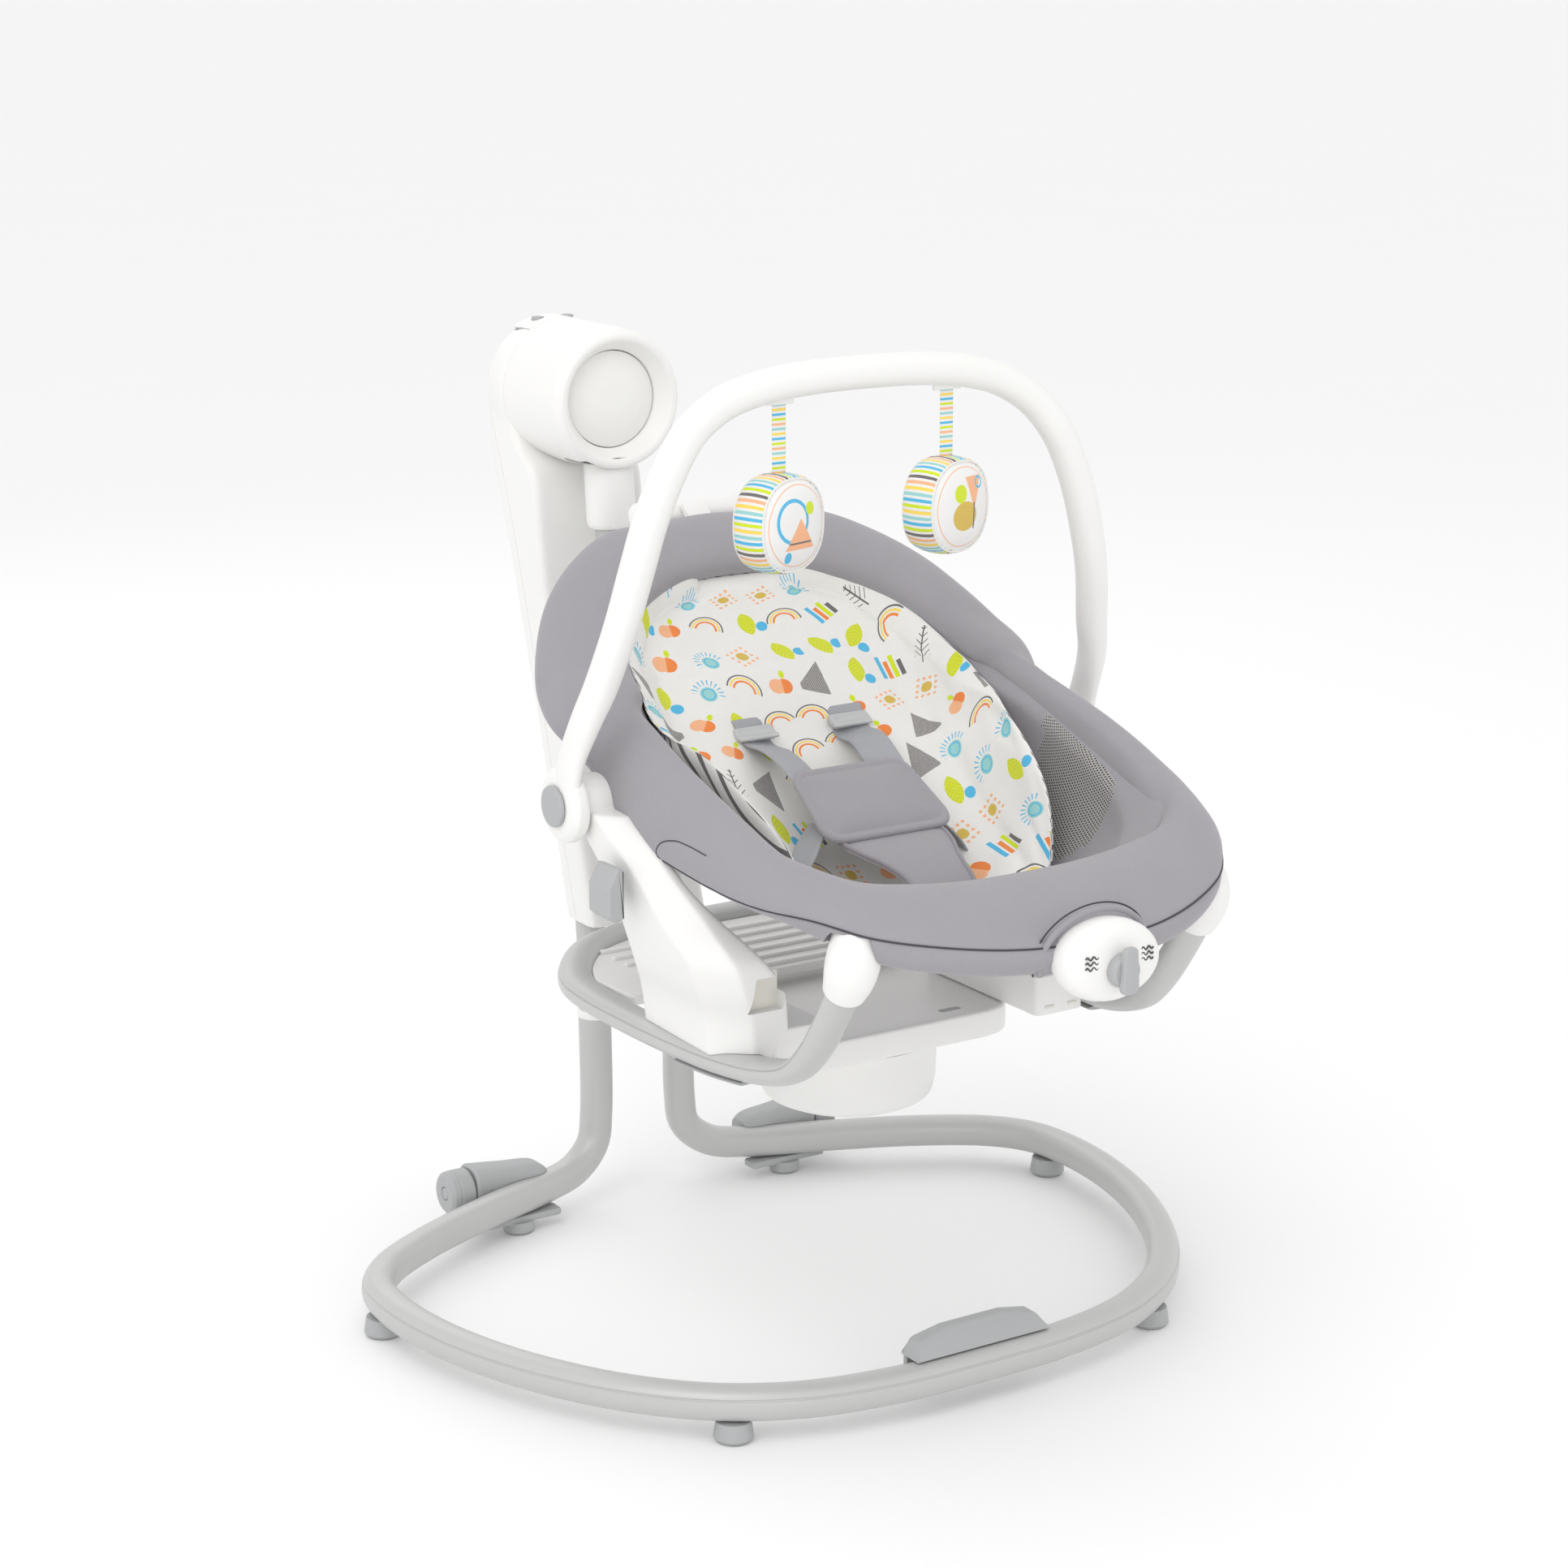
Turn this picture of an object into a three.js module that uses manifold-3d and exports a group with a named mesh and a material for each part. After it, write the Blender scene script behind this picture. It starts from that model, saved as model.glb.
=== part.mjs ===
// Baby swing with a lift-off rocker seat. Millimetres, +Z up, the seat faces -Y.
// The origin is on the floor under the middle of the object's box.
import * as THREE from "three";
import { mergeVertices } from "three/addons/utils/BufferGeometryUtils.js";
import Module from "manifold-3d";

const wasm = await Module();
wasm.setup();

// ---- driving dimensions -------------------------------------------------------------------
const GAP = 0.4; // between solids that touch
const SIDES = 8; // sides of a round tube
const BASE_TUBE = 15; // radius of the bent floor tube
const BASE_HEIGHT = 33; // centre of the floor tube above the floor
const UPRIGHT_X = 47; // half the distance between the two uprights
const UPRIGHT = { y: 179, joint: 195, top: 360, radius: 13.5, lean: 0.09 };
const FOOT = { radius: 17, height: 18 };
const HEAD = { z: 776, radius: 67, wall: 3, front: 196, seam: 302, back: 360 };
const HEAD_SIDES = 24;
const CAP_RADIUS = 53.4; // disc in the recess of the head
const SLOT = { halfWidth: 38, front: 199.6, back: 243.5 }; // for the arm, in the head's underside
const SHAFT = { radius: 8, bore: 8.45, front: 226, back: 344 };
const GEAR = { pitch: 40, teeth: 60, shown: 11, front: 276, back: 286 };
const PINION = { pitch: 8, teeth: 12, front: 274, back: 288 };
const PINION_Z = HEAD.z - GEAR.pitch - PINION.pitch - 0.3;
const ARM_TUBE = 16; // radius
const ARM_TOP = { y: 221, z: 690 };
const DOCK = { y: -187, z: 241, radius: 79, bottom: 210, top: 268 };
const PLATE = { halfX: 125, halfY: 90, bottom: 272, top: 297, corner: 45 };
const ROCKER_TUBE = { width: 15.5, depth: 10.5 }; // half sizes of the flattened tube
const HINGE = { y: -160, z: 505, pin: 8, bore: 8.4 }; // recline and toy arch axis, along X
const BACK_ANGLE = (42 * Math.PI) / 180; // backrest above level, at rest
const WEDGE = Math.tan((7 * Math.PI) / 180); // half opening between seat and backrest fabric
const ARCH_TUBE = 14; // radius
const HOOK = { x: 84, y: -208, z: 833 };
const POD = { radius: 43, thickness: 36, drop: 98, turn: (17 * Math.PI) / 180 };
const VIBRATION = { y: -549, z: 430, halfX: 46, halfZ: 33 };

const WHITE = [0xf3f2ef, 0.35];
const PALE_GRAY = [0xc2c3c1, 0.4];
const GRAY = [0xb2b3b4, 0.5];
const FABRIC = [0x9e9ba0, 0.95];
const PRINT = [0xe8e6e2, 0.95];
const STEEL = [0x9a9c9e, 0.35];
const GREEN = [0x2f6b46, 0.6];

const V = (x, y, z) => new THREE.Vector3(x, y, z);
const group = new THREE.Group();
const swing = new THREE.Group();
group.add(swing);

// ---- helpers ------------------------------------------------------------------------------
function solid(geometry) {
  const bare = (geometry.index ? geometry.toNonIndexed() : geometry.clone());
  bare.deleteAttribute("normal");
  bare.deleteAttribute("uv");
  const merged = mergeVertices(bare, 1e-3);
  const triVerts = new Uint32Array(merged.index.array);
  const vertProperties = new Float32Array(merged.attributes.position.array);
  const made = new wasm.Manifold(new wasm.Mesh({ numProp: 3, vertProperties, triVerts }));
  if (made.volume() > 0) return made;
  for (let i = 0; i < triVerts.length; i += 3)
    [triVerts[i], triVerts[i + 1]] = [triVerts[i + 1], triVerts[i]];
  return new wasm.Manifold(new wasm.Mesh({ numProp: 3, vertProperties, triVerts }));
}

function geometryOf(piece) {
  const mesh = piece.getMesh();
  const out = new Float32Array(mesh.numVert * 3);
  for (let i = 0; i < mesh.numVert; i++)
    out.set(mesh.vertProperties.subarray(i * mesh.numProp, i * mesh.numProp + 3), i * 3);
  const geometry = new THREE.BufferGeometry();
  geometry.setAttribute("position", new THREE.BufferAttribute(out, 3));
  geometry.setIndex(new THREE.BufferAttribute(new Uint32Array(mesh.triVerts), 1));
  return geometry;
}

const join = (...pieces) => pieces.reduce((a, b) => a.add(b));
const cut = (piece, ...tools) => tools.reduce((a, b) => a.subtract(b), piece);

function add(name, piece, [color, roughness], metalness = 0) {
  const material = new THREE.MeshStandardMaterial({ color, roughness, metalness });
  const mesh = new THREE.Mesh(geometryOf(piece), material);
  mesh.name = name;
  swing.add(mesh);
}

function box(x0, x1, y0, y1, z0, z1) {
  const shape = new THREE.BoxGeometry(x1 - x0, y1 - y0, z1 - z0);
  return solid(shape.translate((x0 + x1) / 2, (y0 + y1) / 2, (z0 + z1) / 2));
}

// A cylinder from a to b along the axis named "x", "y" or "z", centred on the other two.
function rod(axis, radius, a, b, u, v, sides = 16) {
  const shape = new THREE.CylinderGeometry(radius, radius, b - a, sides);
  if (axis === "x") shape.rotateZ(Math.PI / 2).translate((a + b) / 2, u, v);
  if (axis === "y") shape.translate(u, (a + b) / 2, v);
  if (axis === "z") shape.rotateX(Math.PI / 2).translate(u, v, (a + b) / 2);
  return solid(shape);
}

// A turned piece: [radius, height] pairs round the world axis "y" or "z".
function turned(axis, profile, at, sides = 20) {
  const shape = new THREE.LatheGeometry(profile.map(([r, h]) => new THREE.Vector2(r, h)), sides);
  if (axis === "z") shape.rotateX(Math.PI / 2);
  return solid(shape.translate(at.x, at.y, at.z));
}

function tube(points, radius, steps, sides = SIDES) {
  const curve = new THREE.CatmullRomCurve3(points, false, "centripetal");
  const section = new THREE.Shape().absarc(0, 0, radius, 0, Math.PI * 2);
  return solid(
    new THREE.ExtrudeGeometry(section, {
      extrudePath: curve,
      steps,
      curveSegments: sides / 2,
      bevelEnabled: false,
    }),
  );
}

// The right half of a path, given from its open end to x = 0, mirrored to a whole one.
const mirrored = (half) => [...half, ...half.slice(0, -1).reverse().map((p) => V(-p.x, p.y, p.z))];

// A skin over rings of equal length, with flat ends unless the rings close on themselves.
function loft(rings, closed = false) {
  const n = rings[0].length;
  const position = rings.flat().flatMap((p) => [p.x, p.y, p.z]);
  const index = [];
  const last = closed ? rings.length : rings.length - 1;
  for (let i = 0; i < last; i++) {
    const next = ((i + 1) % rings.length) * n;
    for (let j = 0; j < n; j++) {
      const k = (j + 1) % n;
      index.push(i * n + j, i * n + k, next + k, i * n + j, next + k, next + j);
    }
  }
  if (!closed) {
    const lid = (ring, start, flip) => {
      const middle = ring.reduce((a, p) => a.add(p), V(0, 0, 0)).divideScalar(n);
      const centre = position.length / 3;
      position.push(middle.x, middle.y, middle.z);
      for (let j = 0; j < n; j++) {
        const [a, b] = [start + j, start + ((j + 1) % n)];
        index.push(...(flip ? [centre, b, a] : [centre, a, b]));
      }
    };
    lid(rings[0], 0, true);
    lid(rings[rings.length - 1], (rings.length - 1) * n, false);
  }
  const geometry = new THREE.BufferGeometry();
  geometry.setAttribute("position", new THREE.BufferAttribute(new Float32Array(position), 3));
  geometry.setIndex(index);
  return solid(geometry);
}

// A level rounded rectangle at height z, with half sizes hx and hy and corner radius r.
function levelRing(x, y, z, hx, hy, r, perCorner = 2) {
  const ring = [];
  for (let c = 0; c < 4; c++)
    for (let i = 0; i <= perCorner; i++) {
      const angle = ((c + i / perCorner) * Math.PI) / 2;
      const sx = c === 0 || c === 3 ? 1 : -1;
      const sy = c < 2 ? 1 : -1;
      ring.push(V(x + sx * (hx - r) + r * Math.cos(angle), y + sy * (hy - r) + r * Math.sin(angle), z));
    }
  return ring;
}

// A flat rounded rectangle with bevelled edges, its thickness along Z.
function cushion(hx, hy, r, perCorner, depth, bevel) {
  const outline = levelRing(0, 0, 0, hx, hy, r, perCorner).map((p) => new THREE.Vector2(p.x, p.y));
  const options = { depth, bevelSize: bevel, bevelThickness: bevel, bevelSegments: 1 };
  return new THREE.ExtrudeGeometry(new THREE.Shape(outline), options);
}

// A slab from -halfX to halfX with the outline given in (y, z).
function sideSlab(outline, halfX) {
  const shape = new THREE.Shape(outline.map((p) => new THREE.Vector2(...p)));
  const slab = new THREE.ExtrudeGeometry(shape, { depth: 2 * halfX, bevelEnabled: false });
  const turn = new THREE.Matrix4().makeBasis(V(0, 1, 0), V(0, 0, 1), V(1, 0, 0));
  return solid(slab.applyMatrix4(turn).translate(-halfX, 0, 0));
}

// A bar along a path of [point, half width, half depth], its depth lying along hint.
function bar(stations, hint, sides = SIDES) {
  const tangent = (i) => {
    const before = stations[Math.max(i - 1, 0)][0];
    const after = stations[Math.min(i + 1, stations.length - 1)][0];
    return after.clone().sub(before).normalize();
  };
  return loft(
    stations.map(([p, width, depth], i) => {
      const t = tangent(i);
      const u = t.clone().cross(hint).normalize();
      const v = u.clone().cross(t).normalize();
      return Array.from({ length: sides }, (_, j) => {
        const angle = (j / sides) * Math.PI * 2;
        return p
          .clone()
          .addScaledVector(u, width * Math.cos(angle))
          .addScaledVector(v, depth * Math.sin(angle));
      });
    }),
  );
}

// A point of the backrest: x across, s up along it from the hinge, h out of its face.
function onBack(x, s, h) {
  const [c, d] = [Math.cos(BACK_ANGLE), Math.sin(BACK_ANGLE)];
  return V(x, HINGE.y + s * c - h * d, HINGE.z + s * d + h * c);
}

// A block square to the backrest.
function backBlock(halfX, s0, s1, h0, h1) {
  const shape = new THREE.BoxGeometry(2 * halfX, s1 - s0, h1 - h0);
  shape.translate(0, (s0 + s1) / 2, (h0 + h1) / 2);
  return solid(shape.rotateX(BACK_ANGLE).translate(0, HINGE.y, HINGE.z));
}

const sided = (make) => {
  make(-1, "left");
  make(1, "right");
};
const flip = (piece, side) => (side > 0 ? piece : piece.mirror([1, 0, 0]));

// ---- floor base ---------------------------------------------------------------------------
const BASE_PATH = [
  [47, 179, 195], [47, 179, 90], [52, 178, 60], [75, 172, 40], [110, 162, 33.5], [190, 133, 33],
  [277, 94, 33], [334, 56, 33], [360, 20, 33], [368, -25, 33], [365, -85, 33], [349, -155, 33],
  [320, -225, 33], [280, -289, 33], [230, -340, 33], [165, -376, 33], [85, -393, 33], [0, -396, 33],
].map((p) => V(...p));

const floorTube = (grow) => tube(mirrored(BASE_PATH), BASE_TUBE + grow, 58);

function floorBase() {
  add("base_tube", floorTube(0), PALE_GRAY);

  const cover = new THREE.Shape()
    .moveTo(-68, 49.5)
    .lineTo(68, 49.5)
    .quadraticCurveTo(62, 62, 40, 66)
    .quadraticCurveTo(0, 70, -40, 66)
    .quadraticCurveTo(-62, 62, -68, 49.5);
  const hood = new THREE.ExtrudeGeometry(cover, { depth: 26, bevelEnabled: false, curveSegments: 6 });
  hood.rotateX(Math.PI / 2).translate(0, -373, 0);
  const clip = box(-66, 66, -378, -373, 20, 50);
  const tubeRoom = box(-90, 90, -412, -378.5, 20, 49);
  add("base_cover", cut(join(solid(hood), clip), tubeRoom), GRAY);

  sided((side, name) => {
    const at = (x, y) => [side * x, y];
    const foot = (label, x, y) => {
      const profile = [[0, 0], [15, 0], [17, 3], [15, 17.4], [0, 17.4]];
      add(`foot_${label}_${name}`, turned("z", profile, V(...at(x, y), 0), 16), GRAY);
    };
    foot("side", 366, 0);
    foot("front", 218, -348);
    const pad = join(
      turned("z", [[0, 0], [13, 0], [15, 3], [15, 12], [0, 12]], V(...at(150, 149), 0), 20),
      box(...[side * 150 - 42, side * 150 + 42], 139, 158, 11, 17.4),
    );
    add(`foot_rear_${name}`, pad, GRAY);
    wheelHousing(side, name);
    upright(side, name);
  });
}

function upright(side, name) {
  const x = side * UPRIGHT_X;
  const lean = (z) => UPRIGHT.y + Math.max(0, z - 205) * UPRIGHT.lean;
  const stations = [203, 215, 260, 320, UPRIGHT.top].map((z) => V(x, lean(z), z));
  const profile = [[0, 195.4], [16.4, 195.4], [16.8, 197], [16.4, 203.4], [0, 203.4]];
  const collar = turned("z", profile, V(x, UPRIGHT.y, 0), 16);
  add(`upright_${name}`, join(tube(stations, UPRIGHT.radius, 8), collar), PALE_GRAY);
}

// A tapered arm behind the tube with a floor roller on its outer end, its axle along X.
function wheelHousing(side, name) {
  const [y, z] = [173, 40];
  const section = (x, hy, hz) =>
    levelRing(0, 0, 0, hy, hz, Math.min(hy, hz) * 0.6).map((p) => V(side * x, y + p.x, z + 4 + p.y));
  const body = loft([section(110, 15, 13), section(150, 17, 17), section(186, 20, 21), section(190, 18, 19)]);
  const along = (radius, a, b, sides) => flip(rod("x", radius, a, b, y, z + 3, sides), side);
  add(`roller_housing_${name}`, join(cut(body, floorTube(GAP)), along(6, 188, 199, 16)), GRAY);
  add(`roller_${name}`, cut(along(21, 191, 216, 18), along(6.4, 180, 200, 16)), GRAY);
}

// ---- post and head ------------------------------------------------------------------------
// Level sections of the leaning post: height, front face, rear face, half width.
const POST = [
  [284, 150, 212, 64], [420, 194, 255, 62], [530, 229, 293, 60], [640, 252, 330, 59],
  [703, 262, 351, 60], [705, 303, 352, 60], [776, 303, 356, 62],
];

function postBody(inset) {
  return loft(
    POST.map(([z, front, back, halfX], i) => {
      const level = i === 0 ? z + inset : i === 4 ? z - inset : i === 5 ? z - inset : z;
      const depth = (back - front) / 2 - inset;
      return levelRing(0, (front + back) / 2, level, halfX - inset, depth, Math.min(20, depth - 1));
    }),
  );
}

function headRear(inset) {
  const r = HEAD.radius - inset;
  const back = HEAD.back - inset;
  const profile = [
    [0, HEAD.seam], [r, HEAD.seam], [r, 326], [r * 0.965, 341], [r * 0.85, back - 5],
    [r * 0.6, back], [0, back],
  ];
  return turned("y", profile, V(0, 0, HEAD.z), HEAD_SIDES);
}

// Everything behind the slanted plane where the two post shells meet, moved back by extra.
function behindSplit(extra) {
  const y = (z) => 181 + (z - POST[0][0]) * 0.335 + extra;
  return sideSlab([[y(200), 200], [y(900), 900], [700, 900], [700, 200]], 150);
}

function postAndHead() {
  const outer = join(postBody(0), headRear(0));
  const passage = rod("y", HEAD.radius - HEAD.wall, 290, 320, 0, HEAD.z, HEAD_SIDES);
  const inner = join(postBody(HEAD.wall), headRear(HEAD.wall), passage);
  const hollows = [-1, 1].map((side) =>
    tube([V(side * UPRIGHT_X, 182, 240), V(side * UPRIGHT_X, 193, 360)], UPRIGHT.radius + GAP, 2));
  const slotForPanel = headSector(HEAD.radius - 3.4, HEAD.radius + 5, 308.6, 340.4, 34.4);
  const shell = cut(outer, inner, ...hollows, slotForPanel);
  const doorSlot = box(-34, 34, 300, 400, 560, 640);
  const door = box(-33.5, 33.5, 300, 400, 560.5, 639.5);
  add("post_front_shell", cut(shell, behindSplit(-0.2)), WHITE);
  add("post_rear_shell", cut(shell.intersect(behindSplit(0.2)), doorSlot), WHITE);
  add("battery_door", cut(outer.intersect(door), inner), WHITE);
  add("head_shell", headShell(), WHITE);
  const dome = [
    [0, 210], [18, 210.6], [36, 212.6], [48, 215.8], [CAP_RADIUS, 218], [CAP_RADIUS, 221], [0, 221],
  ];
  add("head_cap", turned("y", dome, V(0, 0, HEAD.z), HEAD_SIDES), WHITE);
  controls();
  drive();
}

function headShell() {
  const profile = [
    [67, 301.7], [67, 207], [64.8, 200], [60, 196], [56, 197], [54, 201],
    [54, 221], [57, 221], [57, 203], [61, 202], [64, 210], [64, 301.7], [67, 301.7],
  ];
  const slot = cut(
    box(-SLOT.halfWidth, SLOT.halfWidth, SLOT.front, SLOT.back, 690, 740),
    rod("y", 57.2, 180, 260, 0, HEAD.z, HEAD_SIDES),
  );
  return cut(turned("y", profile, V(0, 0, HEAD.z), HEAD_SIDES), slot);
}

// The piece of a ring round the head's axis that lies on top of the head.
const headSector = (r0, r1, y0, y1, halfX) =>
  cut(rod("y", r1, y0, y1, 0, HEAD.z, 40), rod("y", r0, y0 - 5, y1 + 5, 0, HEAD.z, 40))
    .intersect(box(-halfX, halfX, y0, y1, HEAD.z + 40, HEAD.z + 90));

// The panel on top of the head, curved like it, with two buttons that travel down.
function controls() {
  const hole = (x) => rod("z", 6.4, HEAD.z + 40, HEAD.z + 90, x, 325, 12);
  const panel = headSector(HEAD.radius - 3, HEAD.radius + 1.2, 309, 340, 34);
  add("control_panel", cut(panel, hole(-16), hole(16)), GRAY);
  [[-16, "power_button"], [16, "speed_button"]].forEach(([x, name]) => {
    const top = HEAD.z + Math.sqrt(HEAD.radius ** 2 - x * x) + 2.2;
    add(name, rod("z", 6, top - 3, top, x, 325, 12), WHITE);
  });
}

// A flat gear, or the sector of one with the given number of teeth, its teeth pointing down.
function toothed({ pitch, teeth, front, back }, first, shown, bore, z) {
  const tooth = (Math.PI * 2) / teeth;
  const points = [];
  const at = (r, angle) => points.push(new THREE.Vector2(r * Math.sin(angle), -r * Math.cos(angle)));
  for (let i = 0; i < shown; i++) {
    const middle = (first + i) * tooth;
    at(pitch - 1.6, middle - 0.27 * tooth);
    at(pitch + 1.1, middle - 0.13 * tooth);
    at(pitch + 1.1, middle + 0.13 * tooth);
    at(pitch - 1.6, middle + 0.27 * tooth);
  }
  if (shown < teeth) {
    const from = (first + shown) * tooth + 0.2;
    const to = (first - 1) * tooth - 0.2 + 2 * Math.PI;
    for (let k = 0; k <= 12; k++) at(17, THREE.MathUtils.lerp(from, to, k / 12));
  }
  const shape = new THREE.Shape(points);
  if (bore) shape.holes.push(new THREE.Path().absarc(0, 0, bore, 0, Math.PI * 2, true));
  const settings = { depth: back - front, bevelEnabled: false, curveSegments: 12 };
  const blank = new THREE.ExtrudeGeometry(shape, settings);
  return solid(blank.rotateX(Math.PI / 2).translate(0, back, z));
}

function drive() {
  const z = HEAD.z;
  add("swing_shaft", rod("y", SHAFT.radius, SHAFT.front, SHAFT.back, 0, z, 18), STEEL, 0.8);
  const plate = (from, to) => cut(
    join(rod("y", 63, from + 2.5, to - 2.5, 0, z, HEAD_SIDES), rod("y", 15, from, to, 0, z, 18)),
    rod("y", SHAFT.bore, from - 5, to + 5, 0, z, 18),
  );
  add("bearing_plate", plate(262, 272), GRAY);
  add("motor_plate", cut(plate(298, 308), rod("y", 4, 290, 310, 0, PINION_Z, 16)), GRAY);
  const can = rod("y", 13, 306, 332, 0, PINION_Z, 18);
  add("drive_motor", join(can, rod("y", 2.4, 289, 307, 0, PINION_Z, 16)), STEEL, 0.7);
  const firstTooth = -(GEAR.shown - 1) / 2;
  add("sector_gear", toothed(GEAR, firstTooth, GEAR.shown, SHAFT.radius + 0.3, z), WHITE);
  add("drive_pinion", toothed(PINION, 0.5, PINION.teeth, 0, PINION_Z), WHITE);
  add("circuit_board", box(-36, 36, 312, 313.8, 660, 700), GREEN);
}

// ---- swing arm ----------------------------------------------------------------------------
const ARM_PATH = [
  [0, 221, 689.6], [0, 213, 640], [0, 187, 520], [0, 154, 420], [0, 122, 330], [0, 92, 279],
  [0, 50, 252], [0, -20, 243], [0, -80, 241], [0, -128, 241],
].map((p) => V(...p));

function swingArm() {
  const hub = rod("y", 22, 228, 256, 0, HEAD.z, 18);
  const blade = join(box(-11, 11, 225, 243, 712, HEAD.z), box(-11, 11, 211, 232, 693, 716));
  const shaftRoom = rod("y", SHAFT.radius + 0.1, 200, 280, 0, HEAD.z, 18);
  add("arm_lever", cut(join(hub, blade), shaftRoom), STEEL, 0.6);
  add("arm_tube", tube(ARM_PATH, ARM_TUBE, 26), PALE_GRAY);
  const sleeve = loft([
    levelRing(0, 216, 655, 22.5, 18.5, 18, 4), levelRing(0, 217.5, 662, 24, 19.8, 19, 4),
    levelRing(0, 221, 716, 24, 20, 19, 4),
  ]);
  const bore = tube([V(0, 206, 610), V(0, 213, 640), V(0, 221, 690), V(0, 226, 730)], ARM_TUBE + GAP, 8);
  add("arm_sleeve", cut(sleeve, bore, box(-11.5, 11.5, 200, 260, 700, 730)), WHITE);

  const cup = [
    [0, DOCK.bottom], [64, DOCK.bottom], [75, 216], [79, 230], [79, DOCK.top], [75.5, DOCK.top],
    [75.5, 228], [64, 215], [0, 215],
  ];
  const body = join(
    turned("z", cup, V(0, DOCK.y, 0)),
    rod("y", 23, -150, -92, 0, DOCK.z, 18),
    rod("z", 19, 213, 262, 0, DOCK.y, 18),
  );
  const armRoom = rod("y", ARM_TUBE + GAP, -128.5, -60, 0, DOCK.z, 18);
  const spindleRoom = rod("z", 12.4, 219, 280, 0, DOCK.y, 18);
  add("dock_hub", cut(body, armRoom, spindleRoom), WHITE);

  const top = cushion(PLATE.halfX, PLATE.halfY, PLATE.corner, 4, PLATE.top - PLATE.bottom - 6, 3);
  top.translate(0, DOCK.y, PLATE.bottom + 3);
  const spindle = rod("z", 12, 221, PLATE.bottom + 4, 0, DOCK.y, 18);
  add("dock_plate", join(solid(top), spindle), WHITE);
}

// ---- rocker seat: hard parts --------------------------------------------------------------
const ROCKER_PATH = [
  [176, -456, 427], [175, -441, 400], [174.5, -421, 369], [174.5, -402, 344], [175, -378, 322],
  [177, -340, 309], [184, -285, 303], [190, -225, 302], [195, -154, 303], [197, -90, 305],
  [193, -52, 307], [176, -18, 309], [140, 22, 311], [95, 42, 312], [48, 47, 312], [0, 47, 312],
].map((p) => V(...p));

function rockerTube(grow) {
  const curve = new THREE.CatmullRomCurve3(mirrored(ROCKER_PATH), false, "centripetal");
  const [width, depth] = [ROCKER_TUBE.width + grow, ROCKER_TUBE.depth + grow];
  return bar(curve.getSpacedPoints(54).map((p) => [p, width, depth]), V(0, 0, 1));
}

// Level sections of a bracket: height, outer x, inner x, rear y, front y.
const BRACKET = [
  [310, 198, 140, -172, -314], [345, 206, 146, -178, -320], [375, 221, 160, -192, -330],
  [405, 234, 183, -200, -330], [435, 242, 206, -196, -300], [460, 247, 222, -182, -280],
  [480, 251, 229, -168, -256],
];

function bracket(grow) {
  const rings = BRACKET.map(([z, outer, inner, back, front]) => {
    const [hx, hy] = [(outer - inner) / 2 + grow, (back - front) / 2 + grow];
    return levelRing((outer + inner) / 2, (back + front) / 2, z, hx, hy, Math.min(14, hx * 0.6, hy * 0.6));
  });
  const boss = rod("x", 28 + grow, 226 - grow, 255 + grow, HINGE.y, HINGE.z, 18);
  const neck = levelRing(240.5, -172, 497, 14 + grow, 17 + grow, 8);
  return join(loft([...rings, neck]), boss);
}

function rockerParts() {
  add("rocker_frame", rockerTube(0), PALE_GRAY);
  const frameRoom = rockerTube(GAP);
  const bore = rod("x", HINGE.bore, 200, 300, HINGE.y, HINGE.z, 14);

  const half = [[178, -122], [181, -60], [160, -14], [126, 18], [90, 30]];
  const outline = [...half, ...half.map(([x, y]) => [-x, y]).reverse()];
  const sheet = new THREE.Shape(outline.map(([x, y]) => new THREE.Vector2(x, y)));
  const plate = new THREE.ExtrudeGeometry(sheet, { depth: 9, bevelEnabled: false }).translate(0, 0, 304);
  const rib = (i) => box(-140, 140, -112 + i * 22, -105 + i * 22, 312, 316);
  const panelRibs = Array.from({ length: 6 }, (_, i) => rib(i));
  add("cross_panel", cut(join(solid(plate), ...panelRibs), frameRoom), WHITE);

  sided((side, name) => {
    const flange = box(108, 159, -318, -152, PLATE.top + 0.6, 334);
    const recess = box(150, 190, -335, -311, 335, 365);
    const made = cut(join(bracket(0), flange), frameRoom, bore, recess);
    add(`bracket_${name}`, flip(made, side), WHITE);

    const sleeve = bar([
      [V(174.8, -431, 384), 17.5, 17.5], [V(175.2, -438, 394), 19.5, 19.5],
      [V(176.5, -458, 428), 21.5, 21.5], [V(177.5, -467, 443), 20, 20],
    ], V(0, 0.86, 0.5), 20);
    add(`leg_sleeve_${name}`, flip(cut(sleeve, frameRoom, ringTube(GAP)), side), WHITE);
    const pinHead = rod("x", 19, 272.2, 277, HINGE.y, HINGE.z);
    const pin = join(rod("x", HINGE.pin, 208, 275, HINGE.y, HINGE.z, 14), pinHead);
    add(`pivot_pin_${name}`, flip(pin, side), GRAY);
    latch(side, name);
  });
  add("seat_ring", cut(ringTube(0), bracket(GAP), bracket(GAP).mirror([1, 0, 0])), STEEL, 0.6);
}

function latch(side, name) {
  const profile = [[0, 3], [9, 0], [15, 6], [15, 30], [6, 46], [0, 44]];
  const shape = new THREE.Shape(profile.map(([x, z]) => new THREE.Vector2(x, z)));
  const lever = new THREE.ExtrudeGeometry(shape, { depth: 34, bevelEnabled: false });
  lever.rotateX(Math.PI / 2).translate(256, -212, 424);
  add(`latch_lever_${name}`, flip(solid(lever), side), GRAY);
}

const ringTube = (grow) => tube(mirrored([
  [229, -198, 468], [217, -222, 478], [211, -250, 485], [208, -295, 481], [200, -348, 472], [184, -398, 463],
  [158, -443, 454], [115, -480, 447], [60, -499, 443], [0, -504, 442],
].map((p) => V(...p))), 8 + grow, 30, 6);

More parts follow.
